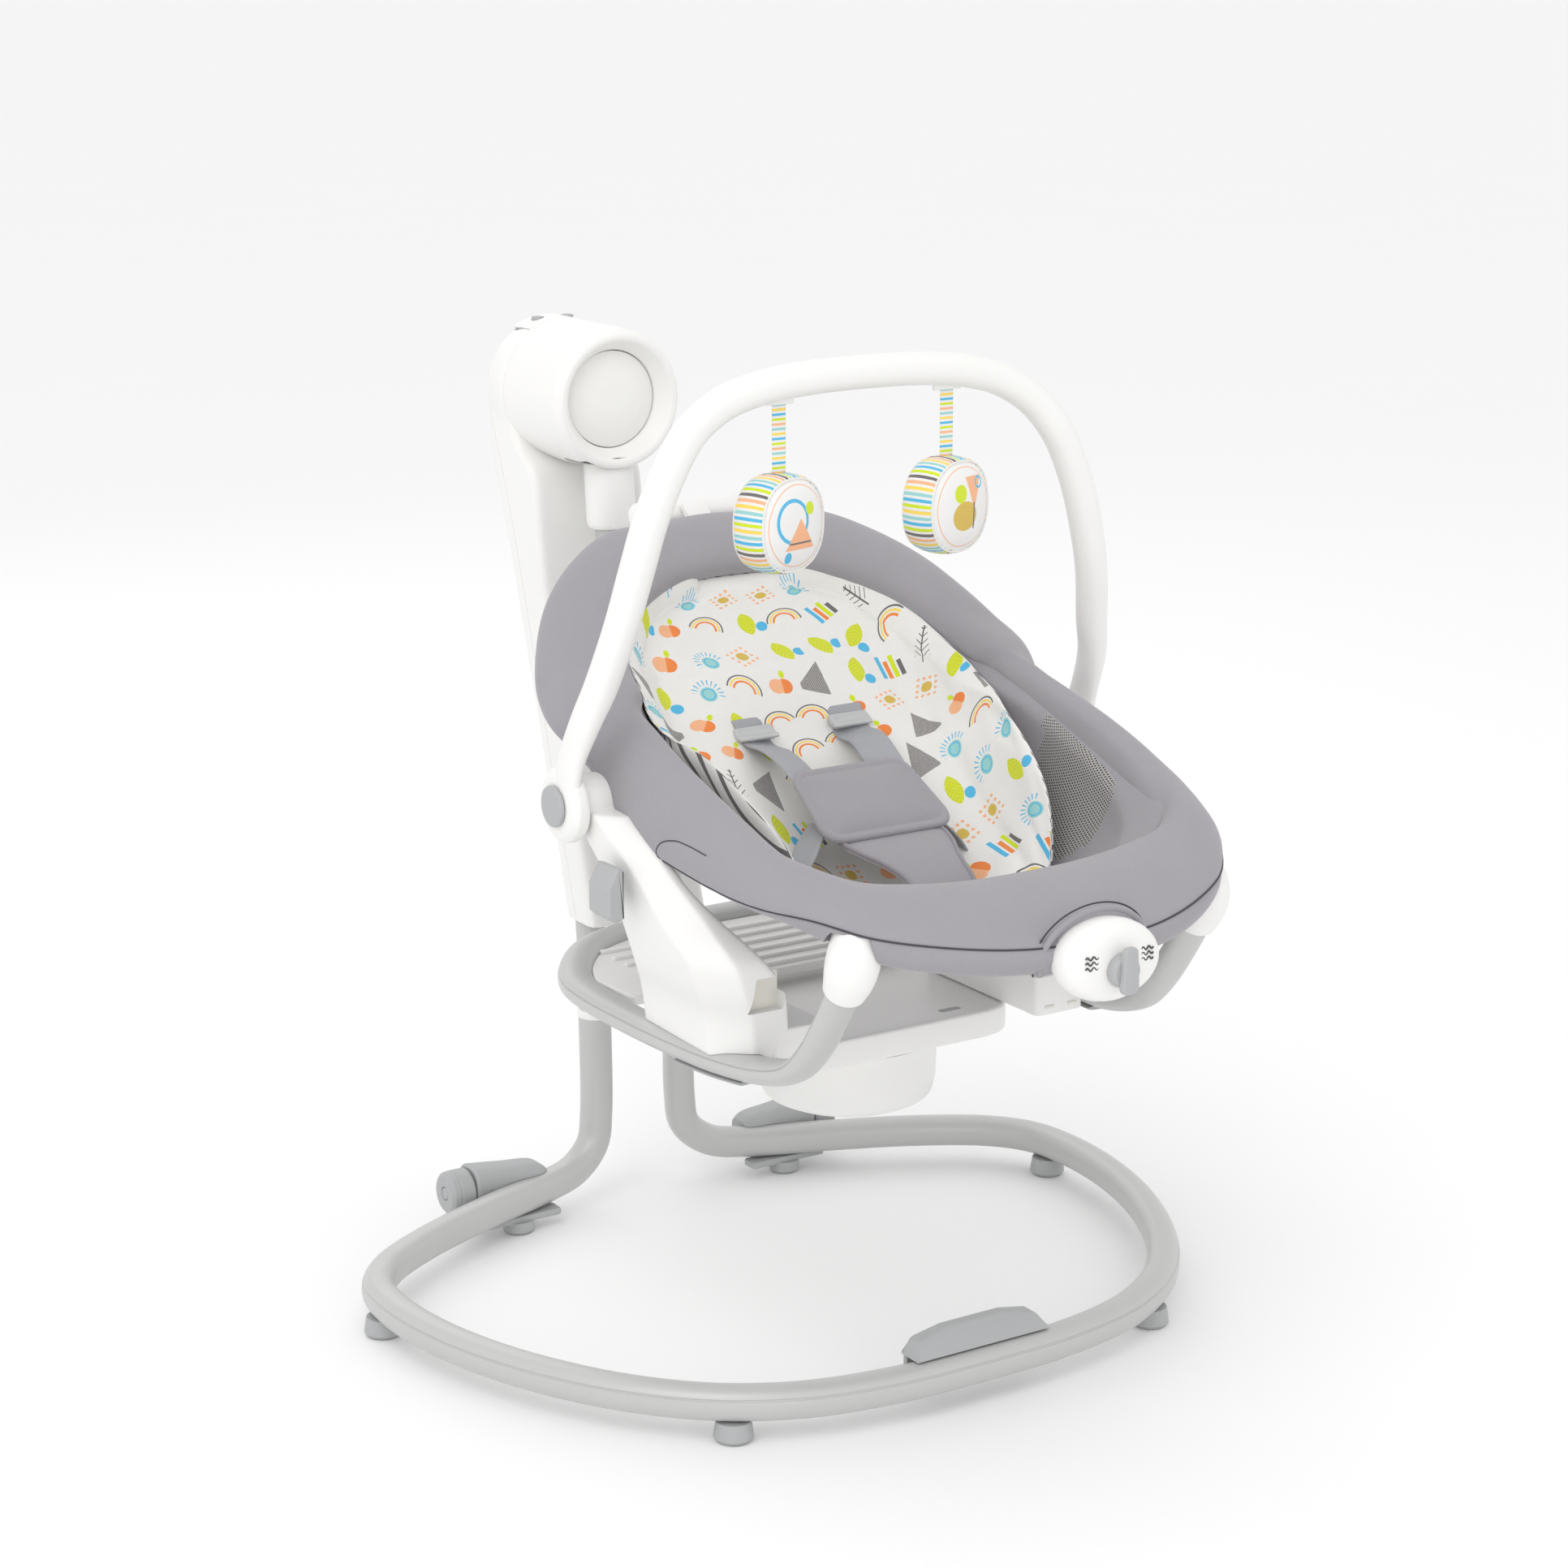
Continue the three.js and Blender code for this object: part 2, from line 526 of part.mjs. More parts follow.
const backTube = (grow) => tube(mirrored([
  onBack(215, 14, 0), onBack(218, 45, 0), onBack(219, 75, 0), onBack(210, 112, 0), onBack(195, 148, 0),
  onBack(170, 188, 0), onBack(128, 224, 0), onBack(68, 244, 0), onBack(0, 250, 0),
]), 8 + grow, 26, 6);

// ---- fabric rim: a padded roll from its outer lower edge to its inner crest ---------------
// Right half from the head end to the foot end: outer edge, inner edge, half thickness.
const RIM = [
  [onBack(0, 290, -6), onBack(0, 210, 10), 20],
  [onBack(60, 285, -6), onBack(42, 207, 10), 20],
  [onBack(112, 267, -6), onBack(80, 196, 10), 20],
  [onBack(158, 239, -6), onBack(113, 177, 10), 20],
  [onBack(195, 202, -6), onBack(137, 155, 12), 20],
  [onBack(222, 158, -6), onBack(152, 131, 15), 20],
  [onBack(240, 114, -4), onBack(162, 101, 22), 20],
  [onBack(245, 78, 2), onBack(171, 72, 36), 20],
  [V(234, -132, 536), V(184, -149, 574), 19],
  [V(220, -160, 506), V(194, -171, 571), 20],
  [V(217, -188, 481), V(199, -198, 564), 20],
  [V(218, -228, 470), V(203, -234, 553), 21],
  [V(219, -276, 466), V(204, -278, 540), 21],
  [V(217, -330, 461), V(202, -323, 525), 21],
  [V(213, -385, 457), V(195, -364, 509), 21],
  [V(201, -434, 454), V(180, -396, 494), 21],
  [V(174, -478, 443), V(151, -417, 479), 21],
  [V(128, -512, 435), V(106, -420, 469), 21],
  [V(66, -537, 429), V(54, -420, 463), 21],
  [V(0, -545, 428), V(0, -418, 461), 21],
];

const RIM_STATIONS = 40;
const RIM_SIDES = 8;

function smoothed(rows, count) {
  const curve = (k) => new THREE.CatmullRomCurve3(rows.map((r) => r[k]), true, "centripetal");
  const [outer, inner] = [curve(0), curve(1)];
  const thick = (t) => {
    const place = t * rows.length;
    const i = Math.floor(place) % rows.length;
    return THREE.MathUtils.lerp(rows[i][2], rows[(i + 1) % rows.length][2], place - Math.floor(place));
  };
  return Array.from({ length: count }, (_, i) => {
    const t = i / count;
    return [outer.getPoint(t), inner.getPoint(t), thick(t)];
  });
}

function rimRoll() {
  const across = (p) => V(-p.x, p.y, p.z);
  const opposite = ([outer, inner, thick]) => [across(outer), across(inner), thick];
  const leftHalf = RIM.slice(1, -1).reverse().map(opposite);
  const stations = smoothed([...RIM, ...leftHalf], RIM_STATIONS);
  const rings = stations.map(([outer, inner, thick], i) => {
    const [a, b] = [stations[(i + RIM_STATIONS - 1) % RIM_STATIONS], stations[(i + 1) % RIM_STATIONS]];
    const along = b[0].clone().add(b[1]).sub(a[0]).sub(a[1]).normalize();
    const middle = outer.clone().add(inner).multiplyScalar(0.5);
    const spread = outer.clone().sub(inner).multiplyScalar(0.5);
    const normal = along.clone().cross(spread).normalize();
    if (normal.z < 0) normal.negate();
    return Array.from({ length: RIM_SIDES }, (_, j) => {
      const angle = (j / RIM_SIDES) * Math.PI * 2;
      const round = (v) => Math.sign(v) * Math.abs(v) ** 0.75;
      return middle.clone()
        .addScaledVector(spread, round(Math.cos(angle)))
        .addScaledVector(normal, thick * round(Math.sin(angle)));
    });
  });
  return loft(rings, true);
}

// Everything behind (side 1) or ahead (side -1) of the wedge that opens at the recline hinge.
function wedgeSide(side) {
  const far = side * 700;
  const edge = (z) => side * (1.2 + Math.abs(z) * WEDGE);
  const outline = [[edge(-300), -300], [edge(0), 0], [edge(300), 300], [far, 300], [far, -300]];
  return sideSlab(outline, 400).translate([0, HINGE.y, HINGE.z]);
}

// ---- seat liner: a trough, given by its edge and its spine --------------------------------
const LINER = [
  [onBack(46, 196, -8), onBack(0, 198, -12)], [onBack(84, 184, -8), onBack(0, 184, -20)],
  [onBack(112, 166, -6), onBack(0, 165, -27)], [onBack(129, 142, -4), onBack(0, 140, -32)],
  [onBack(141, 115, 2), onBack(0, 110, -36)], [onBack(150, 80, 12), onBack(0, 75, -39)],
  [V(157, -142, 552), V(0, -104, 495)], [V(162, -175, 549), V(0, -138, 462)],
  [V(165, -213, 538), V(0, -172, 430)], [V(166, -255, 523), V(0, -215, 400)],
  [V(165, -295, 507), V(0, -262, 392)], [V(160, -335, 490), V(0, -310, 396)],
  [V(148, -366, 474), V(0, -350, 412)], [V(124, -386, 459), V(0, -378, 431)],
  [V(88, -394, 448), V(0, -391, 440)],
];

function liner() {
  const thick = 11;
  const count = 7;
  return loft(LINER.map(([edge, spine]) => {
    const rise = V(0, edge.y - spine.y, edge.z - spine.z);
    const high = rise.length();
    const up = rise.normalize();
    const half = (offset) => Array.from({ length: count }, (_, i) => {
      const u = ((i / (count - 1)) * Math.PI) / 2;
      const [px, ph] = [edge.x * Math.sin(u), high * (1 - Math.cos(u))];
      const n = new THREE.Vector2(high * Math.sin(u), -edge.x * Math.cos(u)).normalize();
      return [px + n.x * offset, ph + n.y * offset];
    });
    const top = half(0);
    const bottom = half(thick);
    const both = (points) => [...points.slice(1).reverse().map(([x, h]) => [-x, h]), ...points];
    const ring = [...both(top), ...both(bottom).reverse()];
    return ring.map(([x, h]) => spine.clone().addScaledVector(up, h).add(V(x, 0, 0)));
  }));
}

function vibrationUnit() {
  const { y, z, halfX, halfZ } = VIBRATION;
  const egg = (grow) => {
    const rings = [[-20, 0.72], [-14, 0.93], [-4, 1], [6, 1], [13, 0.9], [17, 0.72]].map(([d, k]) =>
      Array.from({ length: 28 }, (_, j) => {
        const angle = (j / 28) * Math.PI * 2;
        return V((halfX * k + grow) * Math.cos(angle), y - d, z + (halfZ * k + grow) * Math.sin(angle));
      }));
    return loft(rings);
  };
  const stem = box(-26, 26, y + 12, -516, z - 18, z + 8);
  const hollow = rod("y", 13.6, y - 4, -500, 0, z - 2, 18);
  add("vibration_housing", cut(join(egg(0), stem), hollow, rod("y", 4.4, y - 30, y, 0, z - 4, 16)), WHITE);
  add("vibration_motor", rod("y", 12.5, y - 2, y + 15, 0, z - 2, 16), STEEL, 0.6);
  const knob = join(
    rod("y", 13, y - 27, y - 18.3, 0, z - 4, 18),
    box(-6, 6, y - 33, y - 26, z - 21, z + 17),
    rod("y", 4, y - 20, y - 5, 0, z - 4, 16),
  );
  add("vibration_knob", knob, GRAY);
  return join(egg(1.5), box(-27.5, 27.5, y, -514, z - 19.5, z + 9.5));
}

function softParts(vibrationRoom) {
  const hardFront = [
    bracket(1), bracket(1).mirror([1, 0, 0]), ringTube(0.5), vibrationRoom,
    box(-22, 22, -440, -380, 430, 445),
  ];
  const pinRoom = rod("x", 31, 206, 300, HINGE.y, HINGE.z, 18);
  const sleeveRoom = bar([[V(175, -440, 400), 23, 23], [V(178.5, -474, 452), 22, 22]], V(0, 0.86, 0.5), 16);
  const both = (piece) => [piece, piece.mirror([1, 0, 0])];
  const roll = rimRoll();
  const legs = both(sleeveRoom);
  const front = cut(roll, ...hardFront, ...both(pinRoom), ...legs).intersect(wedgeSide(-1));
  add("front_rim", front, FABRIC);
  const handleRoom = backBlock(14, 262, 300, -15, -3);
  const back = cut(roll, backTube(0.5), handleRoom, ...both(pinRoom)).intersect(wedgeSide(1));
  add("back_rim", back, FABRIC);
  const trough = cut(liner(), roll);
  add("seat_pad", cut(trough, box(-30, 30, -330, -290, 380, 420)).intersect(wedgeSide(-1)), PRINT);
  add("back_pad", trough.intersect(wedgeSide(1)), PRINT);
}

// ---- harness ------------------------------------------------------------------------------
function harness() {
  const run = [[-312, 391], [-311, 405], [-301, 430], [-283, 448], [-262, 457]];
  const back = [[-260.6, 453.3], [-280, 444], [-297, 427.5], [-307, 404], [-308, 391]];
  const strap = sideSlab([...run, ...back], 28);
  add("crotch_strap", strap, FABRIC);
  add("harness_buckle", box(-26, 26, -236, -200, 448, 461), GRAY);
  const pad = cushion(56, 37, 24, 3, 5, 2.5);
  pad.rotateX(0.82).translate(0, -220, 492);
  add("belly_pad", solid(pad), FABRIC);
}

// ---- backrest, toy arch and toys ----------------------------------------------------------
function backrest() {
  const lug = rod("x", 18, 208.6, 224.6, HINGE.y, HINGE.z, 18);
  const bore = rod("x", HINGE.bore, 200, 300, HINGE.y, HINGE.z, 14);
  const lugs = [cut(lug, bore), cut(lug, bore).mirror([1, 0, 0])];
  add("back_frame", cut(join(backTube(0), ...lugs), bore, bore.mirror([1, 0, 0])), STEEL, 0.6);
  const grip = cushion(62, 12, 11, 3, 14, 3);
  grip.translate(0, 308.5, -17).rotateX(BACK_ANGLE).translate(0, HINGE.y, HINGE.z);
  add("recline_handle", join(solid(grip), backBlock(12, 263, 300, -13, -5)), WHITE);
}

// Right half of the arch from its boss to the top: centre, half width, half depth.
const ARCH = [
  [V(264, -164, 512), 7.7, 18], [V(264, -175, 546), 8, 15.5], [V(259, -190, 580), 11, 14.5],
  [V(250, -200, 610), 13, 14], [V(238, -213, 660), 13.5, 14], [V(226, -218, 705), 14, 14],
  [V(213, -219, 745), 14, 14], [V(195, -218, 783), 14, 14], [V(172, -213, 812), 14, 14],
  [V(140, -209, 832), 14, 14], [V(100, -208, 843), 14, 14], [V(50, -208, 848), 14, 14],
  [V(0, -208, 849), 14, 14],
];

function toyArch() {
  const leftHalf = ARCH.slice(0, -1).reverse().map(([p, width, depth]) => [V(-p.x, p.y, p.z), width, depth]);
  const stations = [...ARCH, ...leftHalf];
  const boss = rod("x", 32, 256, 271.7, HINGE.y, HINGE.z, 32);
  const bore = rod("x", HINGE.bore, 200, 300, HINGE.y, HINGE.z, 14);
  const both = (piece) => [piece, piece.mirror([1, 0, 0])];
  const hooks = both(
    box(HOOK.x - 14, HOOK.x + 14, HOOK.y - 2.5, HOOK.y + 2.5, HOOK.z - 5, HOOK.z + 6),
  );
  const arms = both(boss);
  add("toy_arch", cut(join(bar(stations, V(0, 1, 0)), ...arms, ...hooks), ...both(bore)), WHITE);
  sided((side, name) => toy(side * HOOK.x, name));
}

function toy(x, name) {
  const puck = [
    [0, -18], [30, -18], [39, -14], [43, -7], [43, 7], [39, 14], [30, 18], [0, 18],
  ];
  const pod = new THREE.LatheGeometry(puck.map(([r, h]) => new THREE.Vector2(r, h)), 18);
  pod.applyMatrix4(new THREE.Matrix4().makeRotationZ(POD.turn)).translate(x, HOOK.y, HOOK.z - POD.drop);
  const ribbon = box(x - 8.5, x + 8.5, HOOK.y - 1.2, HOOK.y + 1.2, HOOK.z - 60, HOOK.z - 6);
  add(`toy_${name}`, join(solid(pod), ribbon), PRINT);
}

// ---- assembly -----------------------------------------------------------------------------
floorBase();
postAndHead();
swingArm();
rockerParts();
const vibrationRoom = vibrationUnit();
softParts(vibrationRoom);
harness();
backrest();
toyArch();

const bounds = new THREE.Box3().setFromObject(swing, true);
swing.position.y = -(bounds.min.y + bounds.max.y) / 2;

export default group;
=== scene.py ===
"""Baby swing with a lift-off rocker seat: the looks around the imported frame. Metres, +Z up, front at -Y."""

import math

import bmesh
import bpy
import numpy as np
from mathutils import Matrix, Vector
from mathutils.kdtree import KDTree


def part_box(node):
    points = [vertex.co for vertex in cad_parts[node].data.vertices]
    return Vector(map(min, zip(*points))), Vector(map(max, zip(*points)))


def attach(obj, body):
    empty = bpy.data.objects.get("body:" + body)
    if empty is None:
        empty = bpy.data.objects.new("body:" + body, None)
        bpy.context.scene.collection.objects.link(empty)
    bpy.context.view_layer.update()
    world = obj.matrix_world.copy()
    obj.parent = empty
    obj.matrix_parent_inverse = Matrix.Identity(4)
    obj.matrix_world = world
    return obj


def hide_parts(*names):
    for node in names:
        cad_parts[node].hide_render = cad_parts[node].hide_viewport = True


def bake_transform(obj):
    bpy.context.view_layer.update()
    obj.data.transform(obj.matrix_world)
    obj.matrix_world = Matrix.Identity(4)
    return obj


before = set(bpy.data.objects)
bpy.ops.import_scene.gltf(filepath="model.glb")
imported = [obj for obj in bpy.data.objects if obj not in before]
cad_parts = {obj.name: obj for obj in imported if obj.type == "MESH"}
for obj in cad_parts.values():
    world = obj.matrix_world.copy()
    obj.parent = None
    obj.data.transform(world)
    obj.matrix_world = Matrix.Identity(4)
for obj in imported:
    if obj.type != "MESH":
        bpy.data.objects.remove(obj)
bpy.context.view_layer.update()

# ---- driving dimensions, in millimetres from the floor under the middle of the side feet -------
MM = 0.001
SHIFT = (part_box("foot_side_right")[0].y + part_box("foot_side_right")[1].y) / 2
HINGE = (-160, 505)  # recline and toy arch axis: y, z
BACK = math.radians(42)  # backrest above level
HEAD = {"z": 776, "radius": 67, "wall": 3}
DOCK = (-187, 241)  # y, z
VIBRATION = (-549, 430)  # y, z of the egg-shaped unit
HOOK = (84, -208, 833)
POD = {"radius": 43, "half": 21.5, "slim": 0.97, "drop": 103, "turn": math.radians(17)}
SWELL = 7 * MM  # how far the pressure may move padded fabric


def P(x, y, z):
    """A point of the design as a point of the frame."""
    return Vector((x * MM, y * MM + SHIFT, z * MM))


def on_back(x, s, h):
    """A point of the backrest: x across, s up along it from the hinge, h out of its face."""
    c, d = math.cos(BACK), math.sin(BACK)
    return (x, HINGE[0] + s * c - h * d, HINGE[1] + s * d + h * c)


# ---- shader arithmetic --------------------------------------------------------------------------
class Field:
    """A shader value that ordinary arithmetic works on."""

    def __init__(self, tree, socket):
        self.tree, self.socket = tree, socket

    def make(self, operation, *others):
        node = self.tree.nodes.new("ShaderNodeMath")
        node.operation = operation
        for slot, value in zip(node.inputs, (self, *others)):
            if isinstance(value, Field):
                self.tree.links.new(value.socket, slot)
            else:
                slot.default_value = value
        return Field(self.tree, node.outputs[0])

    def __add__(self, other):
        return self.make("ADD", other)

    def __sub__(self, other):
        return self.make("SUBTRACT", other)

    def __mul__(self, other):
        return self.make("MULTIPLY", other)

    def __truediv__(self, other):
        return self.make("DIVIDE", other)

    def __abs__(self):
        return self.make("ABSOLUTE")

    def __lt__(self, other):
        return self.make("LESS_THAN", other)

    def __gt__(self, other):
        return self.make("GREATER_THAN", other)

    def floor(self):
        return self.make("FLOOR")

    def fract(self):
        return self.make("FRACT")

    def sin(self):
        return self.make("SINE")

    def cos(self):
        return self.make("COSINE")

    def length(self, other):
        return (self * self + other * other).make("SQRT")

    def between(self, low, high):
        return (self > low) * (self < high)

    def either(self, other):
        return self.make("MAXIMUM", other)


class Shader:
    """A Principled material under construction."""

    def __init__(self, name, color, roughness, **settings):
        self.material = bpy.data.materials.new(name)
        self.material.use_nodes = True
        self.tree = self.material.node_tree
        self.bsdf = self.tree.nodes["Principled BSDF"]
        self.bsdf.inputs["Roughness"].default_value = roughness
        self.bsdf.inputs["Base Color"].default_value = (*color, 1)
        for key, value in settings.items():
            self.bsdf.inputs[key.replace("_", " ")].default_value = value
        self.color = color
        self.coordinates = self.tree.nodes.new("ShaderNodeTexCoord")

    def link(self, source, target):
        self.tree.links.new(source.socket if isinstance(source, Field) else source, target)

    def texture(self, kind, scale, **settings):
        node = self.tree.nodes.new("ShaderNodeTex" + kind)
        for key, value in settings.items():
            node.inputs[key].default_value = value
        node.inputs["Scale"].default_value = scale
        self.link(self.coordinates.outputs["Object"], node.inputs["Vector"])
        return Field(self.tree, node.outputs["Distance" if kind == "Voronoi" else "Fac"])

    def axes(self):
        """The UV map's coordinates."""
        node = self.tree.nodes.new("ShaderNodeSeparateXYZ")
        self.link(self.coordinates.outputs["UV"], node.inputs[0])
        return [Field(self.tree, node.outputs[i]) for i in range(3)]

    def mix(self, mask, under, over):
        """over where mask is 1; colours are triples or sockets."""
        node = self.tree.nodes.new("ShaderNodeMix")
        node.data_type = "RGBA"
        self.link(mask, node.inputs["Factor"])
        for slot, value in ((node.inputs[6], under), (node.inputs[7], over)):
            if isinstance(value, (tuple, list)):
                slot.default_value = (*value, 1)
            else:
                self.link(value, slot)
        return node.outputs[2]

    def mottle(self, scale, amount):
        """Slow light and dark variation of the colour."""
        spread = self.texture("Noise", scale, Detail=3)
        dark = tuple(c * (1 - amount) for c in self.color)
        light = tuple(min(1, c * (1 + amount)) for c in self.color)
        self.paint(self.mix(spread, dark, light))

    def gloss(self, scale, low, high):
        """Roughness that wanders between low and high."""
        value = self.texture("Noise", scale, Detail=4) * (high - low) + low
        self.link(value, self.bsdf.inputs["Roughness"])

    def bump(self, height, strength, distance):
        node = self.tree.nodes.new("ShaderNodeBump")
        node.inputs["Strength"].default_value = strength
        node.inputs["Distance"].default_value = distance
        self.link(height, node.inputs["Height"])
        self.link(node.outputs[0], self.bsdf.inputs["Normal"])

    def paint(self, color):
        self.link(color, self.bsdf.inputs["Base Color"])


def plastic(name, color, low, high, grain=2600, depth=0.25):
    """Moulded plastic with a fine spark-eroded grain."""
    made = Shader(name, color, high, IOR=1.46)
    made.mottle(9, 0.012)
    made.gloss(35, low, high)
    made.bump(made.texture("Noise", grain, Detail=2), depth, 0.00004)
    return made.material


def paint_on_steel(name, color):
    """Satin pearl paint, with the slight orange peel of powder coating."""
    made = Shader(name, color, 0.36, Metallic=0.12, Coat_Weight=0.25, Coat_Roughness=0.25)
    made.mottle(14, 0.015)
    made.gloss(60, 0.33, 0.42)
    peel = made.texture("Noise", 420, Detail=2) + made.texture("Noise", 3800, Detail=1) * 0.3
    made.bump(peel, 0.22, 0.00006)
    return made.material


def knit(name, color, sheen=0.25, stitch=900):
    """Fine brushed knit: tiny loops, melange yarn and a soft nap."""
    made = Shader(name, color, 0.92, Sheen_Weight=sheen, Sheen_Roughness=0.45)
    made.bsdf.inputs["Specular IOR Level"].default_value = 0.2
    loops = made.texture("Voronoi", stitch)
    melange = made.texture("Noise", 1500, Detail=2) * 0.6 + made.texture("Noise", 22, Detail=4) * 0.4
    dark = tuple(c * 0.9 for c in color)
    light = tuple(min(1, c * 1.1) for c in color)
    made.paint(made.mix(melange, dark, light))
    made.bump(loops + made.texture("Noise", 260, Detail=3) * 0.8, 0.55, 0.0003)
    return made.material


PALETTE = {
    "orange": (0.84, 0.25, 0.07),
    "peach": (0.88, 0.46, 0.26),
    "lime": (0.62, 0.74, 0.03),
    "blue": (0.10, 0.47, 0.74),
    "teal": (0.32, 0.62, 0.62),
    "gray": (0.17, 0.155, 0.155),
    "mustard": (0.66, 0.47, 0.10),
    "yellow": (0.90, 0.66, 0.12),
}
PRINT_GROUND = (0.80, 0.79, 0.765)


def motifs(made, x, y, cell, ground):
    """Plain shapes on a staggered grid: arcs, hills, spruces, leaves, apples, bars, suns and dots."""
    row = (y / cell).floor()
    across = x / cell + (row * 0.5).fract()
    column = across.floor()
    chance = made.tree.nodes.new("ShaderNodeTexWhiteNoise")
    chance.noise_dimensions = "2D"
    place = made.tree.nodes.new("ShaderNodeCombineXYZ")
    made.link(column, place.inputs[0])
    made.link(row, place.inputs[1])
    made.link(place.outputs[0], chance.inputs["Vector"])
    parts = made.tree.nodes.new("ShaderNodeSeparateColor")
    made.link(chance.outputs["Color"], parts.inputs[0])
    kind, lean, push = (Field(made.tree, parts.outputs[i]) for i in range(3))
    px = (across.fract() - 0.5) * cell - (push - 0.5) * (cell * 0.14)
    py = ((y / cell).fract() - 0.5) * cell - (lean - 0.5) * (cell * 0.12)
    turn = (lean - 0.5) * 1.3
    u = (px * turn.cos() - py * turn.sin()) / (1.3 * MM)
    v = (px * turn.sin() + py * turn.cos()) / (1.3 * MM)
    r = u.length(v)
    side = abs(u)
    kinds = [kind.between(i / 8, (i + 1) / 8) for i in range(8)]
    color = ground

    def draw(mask, which, tint):
        nonlocal color
        color = made.mix(mask * kinds[which], color, PALETTE[tint])

    upper = v > -4
    low_arc = u.length(v + 4)
    for near, far, tint in ((7.5, 9.2, "orange"), (10.4, 11.8, "yellow"), (13.0, 14.2, "gray")):
        draw(low_arc.between(near, far) * upper, 0, tint)
    hill = (side < (v * -0.5 + 7)) * (v > -13)
    draw(hill * (((u * 0.9 + v * 0.35).fract()) > 0.22), 1, "gray")
    draw((side < 0.55) * (abs(v) < 13), 2, "gray")
    twig = ((v - side * 0.9) / 5).fract()
    draw((twig < 0.17) * (side < (v * -0.3 + 5.5)) * (v < 12) * (v > -8), 2, "gray")
    leaf = (side + 7).length(v) < 13.5
    draw(leaf, 3, "lime")
    draw(leaf * (((v + side * 0.8) / 3.2).fract() < 0.2), 3, "mustard")
    draw((u - 10).length(v + 7) < 4.5, 3, "blue")
    apple = ((side - 3).length(v + 2)) < 6.3
    draw(apple, 4, "peach")
    draw(apple * (u > 1.5), 4, "orange")
    draw(((u - 3) * 1.6).length(v - 8) < 3.4, 4, "lime")
    for i, (tint, top) in enumerate((("blue", 12), ("orange", 7), ("lime", 10), ("gray", 4))):
        draw((abs(u + 7.5 - i * 5) < 1.7) * (v > -9) * (v < top), 5, tint)
    draw(low_arc < 6.5, 6, "teal")
    rays = ((v + 4).make("ARCTAN2", u) * 3.2).fract() < 0.28
    draw(low_arc.between(8, 12.5) * rays * upper, 6, "blue")
    draw(low_arc.between(4.2, 5.2), 6, "blue")
    dots = (((u / 5.2).fract() - 0.5).length((v / 5.2).fract() - 0.5)) < 0.27
    draw(dots * (r < 12), 7, "peach")
    draw(r < 4.6, 7, "mustard")
    return color


def printed(name, cell=0.041):
    """Soft jersey with a scattered print, its UVs in metres."""
    made = Shader(name, PRINT_GROUND, 0.9, Sheen_Weight=0.15, Sheen_Roughness=0.5)
    made.bsdf.inputs["Specular IOR Level"].default_value = 0.2
    x, y, _ = made.axes()
    weave = made.texture("Voronoi", 1100)
    ground = made.mix(made.texture("Noise", 30, Detail=3), (0.78, 0.77, 0.745), (0.82, 0.81, 0.79))
    made.paint(motifs(made, x, y, cell, ground))
    made.bump(weave + made.texture("Noise", 120, Detail=3) * 1.2, 0.5, 0.0003)
    return made.material


def banded(name, spacing, tints, slant=0.0, share=0.62):
    """Cloth with stripes across U, their colours repeating in order."""
    made = Shader(name, PRINT_GROUND, 0.9, Sheen_Weight=0.15)
    made.bsdf.inputs["Specular IOR Level"].default_value = 0.2
    x, y, _ = made.axes()
    place = (x + y * slant) / spacing
    index = place.floor() / len(tints)
    color = PRINT_GROUND
    for i, tint in enumerate(tints):
        here = (index - i / len(tints)).fract() * len(tints)
        mask = (here < 0.5).either(here > len(tints) - 0.5) * (place.fract() < share)
        color = made.mix(mask, color, PALETTE.get(tint, PRINT_GROUND))
    made.paint(color)
    made.bump(made.texture("Voronoi", 1200), 0.45, 0.00025)
    return made.material


def net(name):
    """Knitted mesh: hexagonal holes painted near-black, as painted shade of the hollow behind the mesh."""
    made = Shader(name, (0.30, 0.29, 0.28), 0.85)
    x, y, _ = made.axes()
    row = (y / 0.0027).floor()
    hole = (((x / 0.0031 + row * 0.5).fract() - 0.5) * 1.1).length((y / 0.0027).fract() - 0.5)
    shaded_hole = hole < 0.33
    # painted shade: the holes are near-black for the dark space seen through the mesh
    made.paint(made.mix(shaded_hole, (0.42, 0.405, 0.395), (0.055, 0.05, 0.05)))
    made.bump(hole, 0.8, 0.0006)
    return made.material


def pod_face(name, shapes):
    """White pod cloth with a thin ring and a few plain shapes, its UVs in metres from the middle."""
    ground = (0.83, 0.825, 0.81)
    made = Shader(name, ground, 0.88, Sheen_Weight=0.15)
    x, y, _ = made.axes()
    u, v = x / MM, y / MM
    color = made.mix(u.length(v).between(33.4, 34.2), ground, PALETTE["peach"])
    u, v = u / 1.5, v / 1.5
    for shape, tint in shapes:
        color = made.mix(shape(u, v), color, PALETTE[tint])
    made.paint(color)
    made.bump(made.texture("Voronoi", 1300), 0.4, 0.00025)
    return made.material


WHITE = plastic("white_moulded_plastic", (0.845, 0.84, 0.822), 0.30, 0.42)
GRAY = plastic("gray_moulded_plastic", (0.415, 0.42, 0.425), 0.42, 0.55, grain=1500, depth=0.45)
CREAM = plastic("cream_moulded_plastic", (0.80, 0.775, 0.71), 0.38, 0.5)
INK = plastic("dark_marking_ink", (0.06, 0.06, 0.065), 0.5, 0.6)
PALE = paint_on_steel("satin_gray_paint", (0.515, 0.52, 0.51))
RIM_CLOTH = knit("gray_knit", (0.335, 0.32, 0.345))
PIPING = knit("gray_binding", (0.30, 0.285, 0.31), stitch=1500)
# seam thread: real stitching, with its near-black colour painted shade of the sewn grooves
SEAM_THREAD_AND_SHADE = knit("seam_thread_painted_shade", (0.075, 0.07, 0.08), sheen=0.05, stitch=2500)
WEBBING = knit("gray_webbing", (0.37, 0.375, 0.40), sheen=0.1, stitch=1300)
PRINT = printed("printed_jersey")
NET = net("gray_net")
